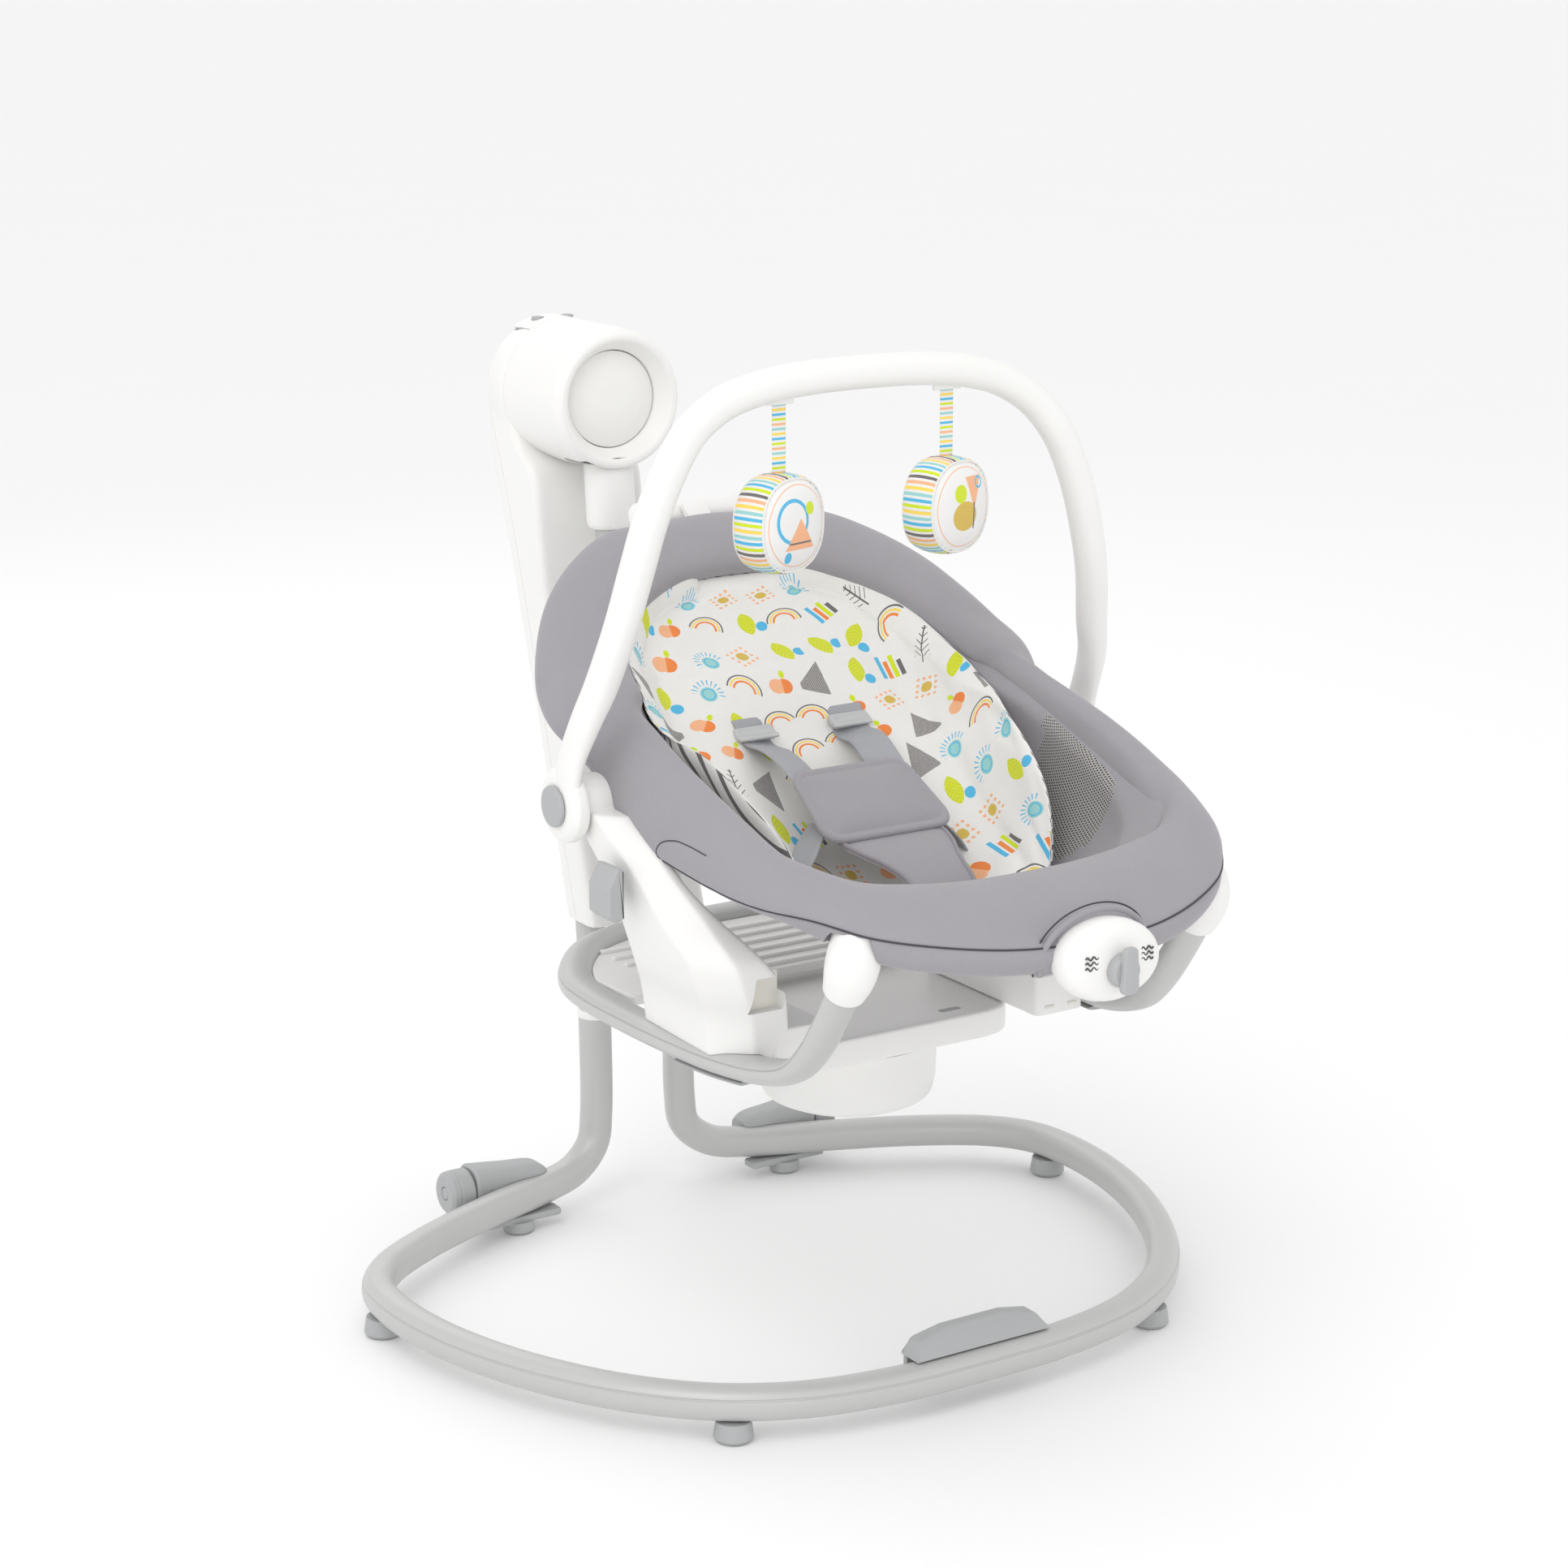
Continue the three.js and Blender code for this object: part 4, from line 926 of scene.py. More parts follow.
# ---- rocker: hard parts -------------------------------------------------------------------------
ROCKER_PATH = [
    (0, 47, 312), (48, 47, 312), (95, 42, 312), (140, 22, 311), (176, -18, 309), (193, -52, 307), (197, -90, 305),
    (195, -154, 303), (190, -225, 302), (184, -285, 303), (177, -340, 309), (175, -378, 322), (174.5, -402, 344),
    (174.5, -421, 369), (175, -441, 400), (176, -456, 427),
]
BRACKET = [  # height, outer x, inner x, rear y, front y
    (309, 198, 140, -172, -314), (345, 206, 146, -178, -322), (375, 221, 158, -192, -334),
    (405, 234, 181, -200, -336), (435, 242, 204, -196, -304), (460, 247, 220, -182, -282),
    (480, 251, 224, -166, -256), (502, 254, 226.5, -150, -212),
]


def rocker():
    path = smooth(ROCKER_PATH, 150)
    section = oval(15.5, 10.5, 48, 2.4, groove=26)
    frame_tube = sweep("rocker_frame_fine", path, section, (0, 1, 0), PALE, mirror=True)
    strip = [p + np.array([0, 0, -11.4]) for p in path[88:108]]
    for side in (1, -1):
        under = [p * np.array([side, 1, 1]) for p in strip]
        guard = sweep("guard", under, oval(1.6, 12.5, 20, 3), (0, 0, 1), GRAY)
        frame_tube = joined("rocker_frame_fine", frame_tube, guard)
    put(frame_tube, "rocker", "pale_gray_tube", "rocker_frame")

    half = [(178, -122), (181, -60), (160, -14), (126, 18), (90, 30)]
    outline = fillet([(x, y, 12) for x, y in half] + [(-x, y, 12) for x, y in half[::-1]], 12, 6, True)
    panel = slab("cross_panel_fine", outline, 304, 313, 2.4, WHITE)
    carve(panel, rocker_room())
    rib = rounded_box(140, 3.5, 2.5, 3)
    ribs = [slab("rib", rib, 312, 316, 1.6, WHITE, Matrix.Translation((0, -108.5 + i * 22, 0)))
            for i in range(6)]
    put(joined("cross_panel_fine", panel, *ribs), "rocker", "white_plastic", "cross_panel")
    bracket()
    sleeves_and_pins()


def rocker_room():
    return sweep("tool", smooth(ROCKER_PATH, 150), oval(15.9, 10.9, 36, 2.4), (0, 1, 0), WHITE, mirror=True)


def bracket():
    rings = []
    for z, outer, inner, back, front in smooth(BRACKET, 70):
        hx, hy = (outer - inner) / 2, (back - front) / 2
        round_ = min(9, hx * 0.5, hy * 0.5)
        slope = (min(hx * 1.25, 24), min(hy * 0.7, 34))  # how far the sloped front corner takes in
        section = fillet([(hx - slope[0], -hy, round_ * 0.6), (hx, -hy + slope[1], 3), (hx, hy, round_),
                          (-hx, hy, round_), (-hx, -hy, round_ * 0.6)], round_, 5, True)
        rings.append([((outer + inner) / 2 + a, (back + front) / 2 + b, z) for a, b in section])
    body = skin("bracket", placed(rings), WHITE)
    boss = turned("boss", [(0, 226.4), (23, 226.4, 1.5), (23.6, 240), (23, 254.6, 3.2), (0, 255.2)],
                  (0, *HINGE), "x", WHITE, 64)
    solid = fused(joined("bracket", body, boss), 1.9, rounds=5, sharp=60)
    place = Matrix.Translation((133.5, -235, 0))
    flange = slab("flange", rounded_box(25.5, 83, 7), 297.7, 334, 2.2, WHITE, place)
    frame_room = rocker_room()
    recess = box_tool(155, 188, -345, -317, 355, 388, 2)
    pin_room = bore_tool(8.5, 200, 300, (0, *HINGE), "x")
    carve(solid, flange, operation="UNION", sharp=40)
    carve(solid, frame_room, recess, pin_room, sharp=40)
    panel = slab("panel", rounded_box(15.5, 15.5, 2), -317.8, -316.8, 0.3, CREAM, stood_up(171.5, 0, 371.5))
    slots = [slab("slot", rounded_box(5, 1.3, 1.2, 3), -319, -317.4, 0.3, CREAM, stood_up(x, 0, 305))
             for x in (122, 146)]
    pair(joined("bracket", solid, panel, *slots), "bracket_{}", "rocker", "white_plastic")


def sleeves_and_pins():
    route = [(175, -444, 405), (175, -450, 416), (174.5, -455, 430), (172, -456, 444), (168, -452, 456)]
    path = smooth(route, 24)
    radii = [17.0, 18.3, 19.6, 20.6, 21.2, 21.4, 21.2, 20.6, 19.8, 19.0]

    def collar(share):
        r = np.interp(share, np.linspace(0, 1, len(radii)), radii)
        return oval(r, r, 48, 2.1)

    sleeve = sweep("sleeve", path, collar, (1, 0, 0), WHITE)
    carve(sleeve, rocker_room())
    pair(sleeve, "leg_sleeve_{}", "rocker", "white_plastic")

    profile = [(0, 208), (8, 208), (8, 272.4, 0), (17.4, 272.4, 0.8), (17.4, 276, 1.6), (14, 276.6, 3),
               (0, 276.8)]
    pin = turned("pin", profile, (0, *HINGE), "x", GRAY, 72)
    pair(pin, "pivot_pin_{}", "rocker", "gray_plastic")

    profile = [(0.3, 3, 0.5), (9, 0, 2.4), (15, 6, 2.4), (15, 29, 3.4), (6.5, 46, 2.2), (0.3, 44, 0.5)]
    outline = fillet(profile, 2, 5, closed=True)
    lever = slab("lever", outline, -246, -212, 1.8, GRAY, stood_up(256, 0, 424))
    pair(lever, "latch_lever_{}", "latch_lever_{}", "gray_plastic")


# ---- padded rim ---------------------------------------------------------------------------------
RIM = [  # right half from the head end to the foot end: outer edge, inner crest, half thickness
    (*on_back(0, 281, -9), *on_back(0, 210, 8), 18),
    (*on_back(60, 277, -9), *on_back(42, 207, 9), 18),
    (*on_back(112, 267, -6), *on_back(80, 196, 10), 20),
    (*on_back(158, 239, -6), *on_back(113, 177, 10), 20),
    (*on_back(195, 202, -6), *on_back(137, 155, 12), 20),
    (*on_back(222, 158, -6), *on_back(152, 131, 15), 20),
    (*on_back(240, 114, -4), *on_back(162, 101, 22), 20),
    (*on_back(245, 78, 2), *on_back(171, 72, 36), 20),
    (234, -132, 536, 184, -149, 574, 19),
    (220, -160, 506, 194, -171, 571, 20),
    (217, -188, 481, 199, -198, 564, 20),
    (218, -228, 470, 203, -234, 553, 21),
    (219, -276, 466, 204, -278, 540, 21),
    (217, -330, 461, 202, -323, 525, 21),
    (213, -385, 457, 195, -364, 509, 21),
    (201, -434, 454, 180, -396, 494, 21),
    (174, -478, 443, 151, -417, 479, 21),
    (128, -512, 435, 106, -420, 469, 21),
    (66, -537, 429, 54, -420, 463, 21),
    (0, -545, 428, 0, -418, 461, 21),
]
RIM_STATIONS = 300
RIM_SIDES = 44
SEAM = 4  # rows above the outer edge of the seat where the lower band is sewn on
CREST = RIM_SIDES // 2 + 3  # the row at the inner crest that the lining is sewn to
LEG_END = [(175, -440, 392), (174.8, -450, 416), (173, -455, 440), (170, -454, 452)]  # a leg's way into the rim


def rim_stations(count):
    across = [(-r[0], r[1], r[2], -r[3], r[4], r[5], r[6]) for r in RIM[1:-1]][::-1]
    return smooth(np.array(RIM + across), count, closed=True)


def rim_rings(count, sides):
    """Rings from the outer edge over the top to the inner crest and back underneath."""
    rows = rim_stations(count)
    outer, inner, thick = rows[:, :3], rows[:, 3:6], rows[:, 6]
    middle, spread = (outer + inner) / 2, (outer - inner) / 2
    along = np.roll(middle, -1, 0) - np.roll(middle, 1, 0)
    normal = np.cross(along, spread)
    normal /= np.linalg.norm(normal, axis=1)[:, None]
    normal *= np.sign(normal[:, 2:3])
    angles = np.linspace(0, 2 * math.pi, sides, endpoint=False)
    c, s = np.cos(angles), np.sin(angles)
    c, s = np.sign(c) * abs(c) ** 0.8, np.sign(s) * abs(s) ** 0.8
    return (middle[:, None] + spread[:, None] * c[None, :, None]
            + normal[:, None] * (thick[:, None] * s[None, :])[:, :, None])


def clear_of_hubs(co):
    """Moves points in from the hinge bosses and brackets, so that fabric presses against them only."""
    y, z = (co[:, 1] - SHIFT) / MM, co[:, 2] / MM
    away = np.hypot(y - HINGE[0], z - HINGE[1])
    limit = 232 + np.clip(away - 31, 0, 60) * 0.9
    x = co[:, 0] / MM
    co[:, 0] = np.sign(x) * np.minimum(abs(x), limit) * MM
    return co


def inflate(obj, pinned, pressure, cap):
    """Swells a closed skin by cloth simulation, holding the pinned points, and moves no point past cap."""
    rest = np.array([v.co for v in obj.data.vertices])
    group = obj.vertex_groups.new(name="held")
    group.add([int(i) for i in pinned], 1.0, "REPLACE")
    modifier = obj.modifiers.new("swell", "CLOTH")
    cloth = modifier.settings
    cloth.quality = 4
    cloth.mass = 0.3
    cloth.tension_stiffness = 12
    cloth.compression_stiffness = 8
    cloth.shear_stiffness = 5
    cloth.bending_stiffness = 0.6
    cloth.use_pressure = True
    cloth.uniform_pressure_force = pressure
    cloth.vertex_group_mass = "held"
    cloth.effector_weights.gravity = 0
    frames = 20
    modifier.point_cache.frame_start = 1
    modifier.point_cache.frame_end = frames
    scene = bpy.context.scene
    for number in range(1, frames + 1):
        scene.frame_set(number)
    evaluated = obj.evaluated_get(bpy.context.evaluated_depsgraph_get())
    moved = np.array([v.co for v in evaluated.data.vertices])
    obj.modifiers.remove(modifier)
    scene.frame_set(1)
    step = moved - rest
    size = np.linalg.norm(step, axis=1)[:, None]
    capped = rest + step * np.minimum(1, cap / np.maximum(size, 1e-9))
    obj.data.vertices.foreach_set("co", capped.ravel())
    obj.data.update()
    return obj


def refine(obj, sharp):
    modifier = obj.modifiers.new("fine", "SUBSURF")
    modifier.levels = modifier.render_levels = 1
    return settle(obj, sharp)


def edit_points(obj, change):
    co = np.array([v.co for v in obj.data.vertices])
    obj.data.vertices.foreach_set("co", change(co).ravel())
    obj.data.update()


def between(grid, i, j):
    """The value of a grid at a place between its cells; i runs round."""
    i0, j0 = int(math.floor(i)), int(math.floor(j))
    a, b = i - i0, j - j0
    near, far = grid[i0 % len(grid)], grid[(i0 + 1) % len(grid)]
    low = (1 - a) * (1 - b) * near[j0] + a * (1 - b) * far[j0]
    return low + (1 - a) * b * near[j0 + 1] + a * b * far[j0 + 1]


def sewn_line(name, cells, co, outward, lift, radius):
    """A thread over the places of cells on the cover's grid of points, lift mm off it. Its near-black colour is
    painted shade of the sewn groove.
    """
    path = []
    for i, j in cells:
        point = between(co, i, j) + between(outward, i, j) * lift * MM
        path.append((point - np.array([0, SHIFT, 0])) / MM)
    return sweep(name, np.array(path), oval(radius, radius, 8), (0.3, 0.5, 0.8), SEAM_THREAD_AND_SHADE)


POCKET_SEAM = [(0, 0), (-0.6, 2.2), (0.6, 4.4), (3.4, 6), (7, 6.6), (11, 6.8)]  # stations along, rows above SEAM


def pocket_seams(co, outward, low, high):
    """The curved seam on each side of the seat where its lower band turns up over the leg pocket."""
    outer_y = (co[:, 0, 1] - SHIFT) / MM
    made = []
    for start, stop, way in ((low, high, 1), (high, low, -1)):
        first = next(i for i in range(start, stop, way) if outer_y[i] < -256)
        cells = smooth([(first + way * along, SEAM + up, 0) for along, up in POCKET_SEAM], 40)
        made.append(sewn_line("pocket_seam", cells[:, :2], co, outward, -0.1, 0.55))
    return made


def unit_bindings():
    """The bound edge of the cut-out over the vibration unit, and its row of thread, near-black as painted shade
    like the other seams.
    """
    y, z = VIBRATION
    made = []
    for grow, back, radius, material in ((5.5, 17, 2.6, RIM_CLOTH), (9.5, 21, 0.7, SEAM_THREAD_AND_SHADE)):
        ring = [((46 + grow) * math.cos(a), y + back - 6 * math.sin(a), z + (33 + grow) * math.sin(a) - 1)
                for a in np.linspace(-0.25, math.pi + 0.25, 60)]
        made.append(sweep("unit_binding", np.array(ring), oval(radius, radius, 10), (0, 1, 0), material))
    return made


def seam_dents(seat):
    """How far the sewing draws in each point of the cover: at the band's seam, under it, and at the back."""
    ease = np.convolve(np.tile(seat.astype(float), 3), np.ones(9) / 9, "same")[RIM_STATIONS : 2 * RIM_STATIONS]
    steps = np.arange(RIM_STATIONS)
    ripple = np.sin(steps * 2.1) + np.sin(steps * 1.27)
    depth = np.zeros((RIM_STATIONS, RIM_SIDES))
    depth[:, SEAM] = 2.4 * ease
    depth[:, SEAM + 1] = (0.3 + ripple * 0.14) * ease
    for row in range(-7, SEAM):
        depth[:, row] = (1.9 + ripple * 0.16 * max(0, 1 - (SEAM - row) / 5)) * ease
    depth[:, -SEAM] += 1.6 * (1 - ease)
    return depth[:, :, None] * MM


def rim():
    rings = placed(rim_rings(RIM_STATIONS, RIM_SIDES).reshape(-1, 3))
    rings = clear_of_hubs(rings).reshape(RIM_STATIONS, RIM_SIDES, 3)
    cover = skin("rim_cover", rings, RIM_CLOTH, closed=True, sharp=80)
    index = np.arange(RIM_STATIONS * RIM_SIDES).reshape(RIM_STATIONS, RIM_SIDES)
    seat = (rings[:, 0, 1] - SHIFT) / MM < -150  # stations of the seat, ahead of the hinge
    pinned = np.concatenate([np.where(seat, index[:, SEAM], index[:, -SEAM]), index[:, CREST]])
    inflate(cover, pinned, 3.5, SWELL)
    edit_points(cover, clear_of_hubs)

    co = np.array([v.co for v in cover.data.vertices]).reshape(RIM_STATIONS, RIM_SIDES, 3)
    inward = co.mean(1, keepdims=True) - co
    inward /= np.linalg.norm(inward, axis=2, keepdims=True)
    co = co + inward * seam_dents(seat)
    cover.data.vertices.foreach_set("co", co.ravel())
    refine(cover, sharp=60)
    edit_points(cover, clear_of_hubs)

    low, high = np.flatnonzero(seat)[[0, -1]]
    band_seam = sewn_line("seam", [(i, SEAM) for i in range(low, high)], co, -inward, 0.5, 0.85)
    trims = [band_seam, *pocket_seams(co, -inward, low, high), *unit_bindings()]
    for side in (1, -1):
        path = smooth([(side * x, y, z) for x, y, z in LEG_END], 14)
        carve(cover, sweep("tool", path, oval(24.6, 24.6, 36), (1, 0, 0), RIM_CLOTH), sharp=60)
    cover = joined("rim_cover", cover, *trims)
    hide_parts("front_rim", "back_rim")
    cross_hinge(cover)


# ---- seat trough: lining, printed pad, harness ---------------------------------------------------
LINER = [  # edge and spine of the trough, and the rim crest beside it, from the head end to the foot end
    (*on_back(46, 196, -8), *on_back(0, 198, -12), *on_back(50, 207, 8)),
    (*on_back(84, 184, -8), *on_back(0, 184, -20), *on_back(94, 192, 8)),
    (*on_back(112, 166, -6), *on_back(0, 165, -27), *on_back(125, 171, 9)),
    (*on_back(129, 142, -4), *on_back(0, 140, -32), *on_back(143, 147, 11)),
    (*on_back(141, 115, 2), *on_back(0, 110, -36), *on_back(156, 119, 17)),
    (*on_back(150, 80, 12), *on_back(0, 75, -39), *on_back(167, 84, 30)),
    (157, -142, 552, 0, -104, 495, 184, -143, 572),
    (164, -175, 547, 0, -138, 462, 196, -177, 566),
    (170, -213, 534, 0, -172, 430, 201, -214, 557),
    (172, -255, 519, 0, -215, 400, 204, -257, 543),
    (170, -295, 504, 0, -262, 392, 203, -299, 529),
    (163, -335, 488, 0, -310, 396, 198, -345, 514),
    (149, -366, 473, 0, -350, 412, 179, -391, 494),
    (124, -386, 459, 0, -378, 431, 146, -416, 476),
    (88, -394, 448, 0, -391, 440, 98, -421, 466),
]
TUCK = 1.18  # share of the way across at which a skin reaches the rim crest


def trough(rows, share, lift):
    """Points of the trough in mm: share -1 to 1 from edge to edge, on to the crests at TUCK, lift mm above it."""
    rows = np.asarray(rows, float)[:, None, :]
    edge, spine, crest = rows[..., :3], rows[..., 3:6], rows[..., 6:9]
    side, size = np.sign(share)[..., None], np.abs(share)
    rise = (edge - spine) * (0, 1, 1)
    high = np.linalg.norm(rise, axis=2)
    up = rise / high[..., None]
    u = np.minimum(size, 1) * math.pi / 2
    nx, nh = high * np.sin(u), -edge[..., 0] * np.cos(u)
    long = np.hypot(nx, nh)
    x = edge[..., 0] * np.sin(u) - nx / long * lift
    h = high * (1 - np.cos(u)) - nh / long * lift
    points = spine + up * h[..., None]
    points[..., 0] = x
    beyond = np.clip((size - 1) / (TUCK - 1), 0, 1)[..., None]
    points = points + (crest - edge) * beyond
    points[..., 0] = points[..., 0] * np.where(side[..., 0] == 0, 1, side[..., 0])
    return points


def widths(grid):
    """Running width across each row from its middle, and running length up the middle, in metres."""
    step = np.linalg.norm(np.diff(grid, axis=1), axis=2)
    across = np.concatenate([np.zeros((len(grid), 1)), np.cumsum(step, axis=1)], axis=1)
    middle = grid.shape[1] // 2
    across -= across[:, middle : middle + 1]
    climb = np.linalg.norm(np.diff(grid[:, middle], axis=0), axis=1)
    along = np.concatenate([[0], np.cumsum(climb)])[::-1]
    return np.stack([across, np.broadcast_to(along[:, None], across.shape)], axis=2) * MM


def sheet_of(name, top, under, material, second, uv=None):
    """A closed pad between two grids in mm. Its underside and edges take the second material."""
    m, n = top.shape[:2]
    index = np.arange(m * n).reshape(m, n)
    faces, uvs, slots = [], [], []
    uv = widths(top) if uv is None else uv

    def add(corners, coordinates, slot):
        faces.append(tuple(int(k) for k in corners))
        uvs.extend(tuple(c) for c in coordinates)
        slots.append(slot)

    for first, slot, way in ((0, 0, 1), (m * n, 1, -1)):
        for i in range(m - 1):
            for j in range(n - 1):
                corners = [(i, j), (i, j + 1), (i + 1, j + 1), (i + 1, j)][::way]
                add([index[c] + first for c in corners], [uv[c] for c in corners], slot)
    sides = [((i, j), (i + 1, j), j > 0) for i in range(m - 1) for j in (0, n - 1)]
    ends = [((i, j), (i, j + 1), i == 0) for j in range(n - 1) for i in (0, m - 1)]
    for a, b, forward in sides + ends:
        ring = [index[a], index[b], index[b] + m * n, index[a] + m * n]
        add(ring if forward else ring[::-1], [uv[a], uv[b], uv[b] + (0.01, 0), uv[a] + (0.01, 0)], 1)
    verts = placed(np.concatenate([top.reshape(-1, 3), under.reshape(-1, 3)]))
    obj = piece(name, verts, faces, material, uvs)
    obj.data.materials.append(second)
    obj.data.polygons.foreach_set("material_index", slots)
    return tidy(obj, 70)


PAD = LINER[:7] + [  # the printed pad follows the trough as far as the hinge, then its sides stand free of it
    (163, -174, 548, 0, -138, 463, 188, -178, 560),
    (155, -203, 541, 0, -172, 432, 158, -203, 543),
    (147, -250, 517, 0, -218, 402, 149, -250, 519),
    (137, -287, 491, 0, -264, 395, 139, -287, 493),
    (128, -307, 465, 0, -296, 398, 130, -307, 467),
    (118, -320, 438, 0, -318, 402, 120, -320, 440),
    (105, -332, 416, 0, -336, 407, 107, -332, 418),
]
PAD_SHARE = [1.15, 1.22, 1.22, 1.22, 1.20, 1.17, 1.13, 1.08, 1.02, 1, 1, 1, 1, 1, 1]
INSERT = 15  # how far the body support stands above the trough, mm


def pad_surface(place, x):
    """A point on the printed pad and the direction out of it: place is a row number of PAD, x is in mm."""
    row = np.array([np.interp(place, np.arange(len(PAD)), column) for column in np.array(PAD).T])
    share = np.array([[math.asin(max(-1, min(1, x / row[0]))) / (math.pi / 2)]])
    low, high = (trough([row], share, h)[0, 0] for h in (0.0, 1.0))
    out = high - low
    return low + out * (4.5 + support(place, share[0, 0])), out


def support(place, share):
    """Height of the body support over the pad."""
    along = np.clip((place - 2.6) / 1.6, 0, 1) * np.clip((10.5 - place) / 2.5, 0, 1)
    width = np.clip((0.62 - np.abs(share)) / 0.26, 0, 1)
    return INSERT * along**2 * (3 - 2 * along) * width**2 * (3 - 2 * width)


def rounded_end(share, power):
    """1 in the middle of a pad, falling to 0 at share -1 and 1; the higher the power, the fuller the pad."""
    return np.sqrt(np.clip(1 - np.abs(share) ** power, 0, 1))


def print_pad():
    head = (*on_back(40, 207, 0), *on_back(0, 212, -3), *on_back(42, 211, 4))
    fine = smooth(np.column_stack([[head] + PAD, PAD_SHARE, np.arange(len(PAD) + 1)]), 100)
    rows, limits, place = fine[:, :9], fine[:, 9:10], fine[:, 10:] - 1
    spread = math.pi / 2 * 0.8  # columns lie closer together towards the edges
    t = np.sin(np.linspace(-1, 1, 45) * spread) / math.sin(spread)
    share = limits * t[None, :]
    ends = np.linspace(-1, 1, len(rows))[:, None]
    half = np.maximum(4.6 * rounded_end(t[None, :], 14) * rounded_end(ends, 26), 0.6)
    bulge = support(place, share)
    crease = np.exp(-(((np.abs(share) - 0.60) / 0.022) ** 2)) * np.clip((place - 3.0) / 0.6, 0, 1)
    crease = crease * np.clip((10.2 - place) / 0.8, 0, 1)
    top = trough(rows, share, half + bulge - 2.2 * crease)
    under = trough(rows, share, -half)
    pad = sheet_of("print_pad", top, under, PRINT, STRIPED, widths(trough(rows, share, 0 * share)))
    anchored = placed(np.concatenate([top[[0, -1]].reshape(-1, 3), top[:, [0, -1]].reshape(-1, 3),
                                      under[:, ::4].reshape(-1, 3), top[crease > 0.6]]))
    inflate(pad, near(pad, anchored), 2.2, 3.5 * MM)
    refine(pad, sharp=75)
    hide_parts("seat_pad", "back_pad")
    cross_hinge(pad)


def near(obj, points, reach=1e-4):
    """Indices of the vertices of obj that lie on any of the points."""
    tree = KDTree(len(obj.data.vertices))
    for vertex in obj.data.vertices:
        tree.insert(vertex.co, vertex.index)
    tree.balance()
    found = [tree.find(p) for p in points]
    return sorted({index for _, index, distance in found if distance < reach})


def cross_hinge(obj):
    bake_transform(obj)


def in_window(x, y, z):
    """Whether a point of the bucket, in mm, lies in the net window of its side wall."""
    front = -330 + max(0, 470 - z) * 0.5
    low = 418 + max(0, -260 - y) * 0.35
    high = 534 + (y + 225) * 0.35
    return abs(x) > 70 and front < y < -225 and low < z < high


def lining():
    """The bucket behind the pad: gray knit with a net window in each side wall."""
    head = (*on_back(40, 212, -6), *on_back(0, 219, -9), *on_back(42, 216, 4))
    foot = (58, -400, 452, 0, -402, 448, 62, -421, 466)
    rows = smooth([head] + LINER + [foot], 84)
    share = np.linspace(-TUCK, TUCK, 71)[None, :] * np.ones((len(rows), 1))
    lift = np.full_like(share, -9.5) + 7.5 * np.clip((np.abs(share) - 1) / (TUCK - 1), 0, 1)
    top = trough(rows, share, lift)
    under = top + (trough(rows, share, np.full_like(share, -1.0)) - trough(rows, share, 0 * share)) * 1.5
    bucket = sheet_of("seat_bucket", top, under, RIM_CLOTH, RIM_CLOTH)
    bucket.data.materials.append(NET)
    slots = [2 if in_window(*unplaced(face.center)) else 0 for face in bucket.data.polygons]
    bucket.data.polygons.foreach_set("material_index", slots)
    cross_hinge(bucket)


def cushioned(name, outline, profile, material, matrix, sharp=60):
    """A closed crowned form. profile is (inset from the outline, height) from the middle of the back to the middle
    of the face, in mm; insets past the outline's own radius shrink towards its middle."""
    points, normal = outward(outline)
    reach = np.abs(points).max(0).min()
    rings = []
    for inset, height in profile:
        shallow = min(inset, 9, reach * 0.6)
        ring = points - normal * shallow
        ring = ring * max(0.02, 1 - max(0, inset - shallow) / (reach - shallow))
        rings.append(np.column_stack([ring, np.full(len(points), height)]))
    return skin(name, placed(at_place(rings, matrix)), material, sharp=sharp)


def facing(x, y, z, tilt):
    """A place in mm whose face looks up and forward: tilt from level, about X."""
    return Matrix.Translation((x, y, z)) @ Matrix.Rotation(tilt, 4, "X")


def strap(name, points, widths_, thick, material, out, piped=False):
    """A band along points in mm, facing out at its start, with its widths spread over its length."""
    path = smooth(points, 36)
    last = len(path) - 1

    def half_width(share):
        return float(np.interp(share, np.linspace(0, 1, len(widths_)), widths_)) / 2

    made = sweep(name, path, lambda share: oval(thick / 2, half_width(share), 28, 6), out, material)
    if not piped:
        return made
    edges = []
    for side in (-1, 1):
        line = []
        for i, (point, (a, b)) in enumerate(zip(path, path_frames(path, out))):
            line.append(point + b * side * (half_width(i / last) - 0.4) + a * (thick / 2 - 1))
        edges.append(sweep("edge", line, oval(1.9, 1.9, 10), (1, 0, 0), PIPING))
    return joined(name, made, *edges)


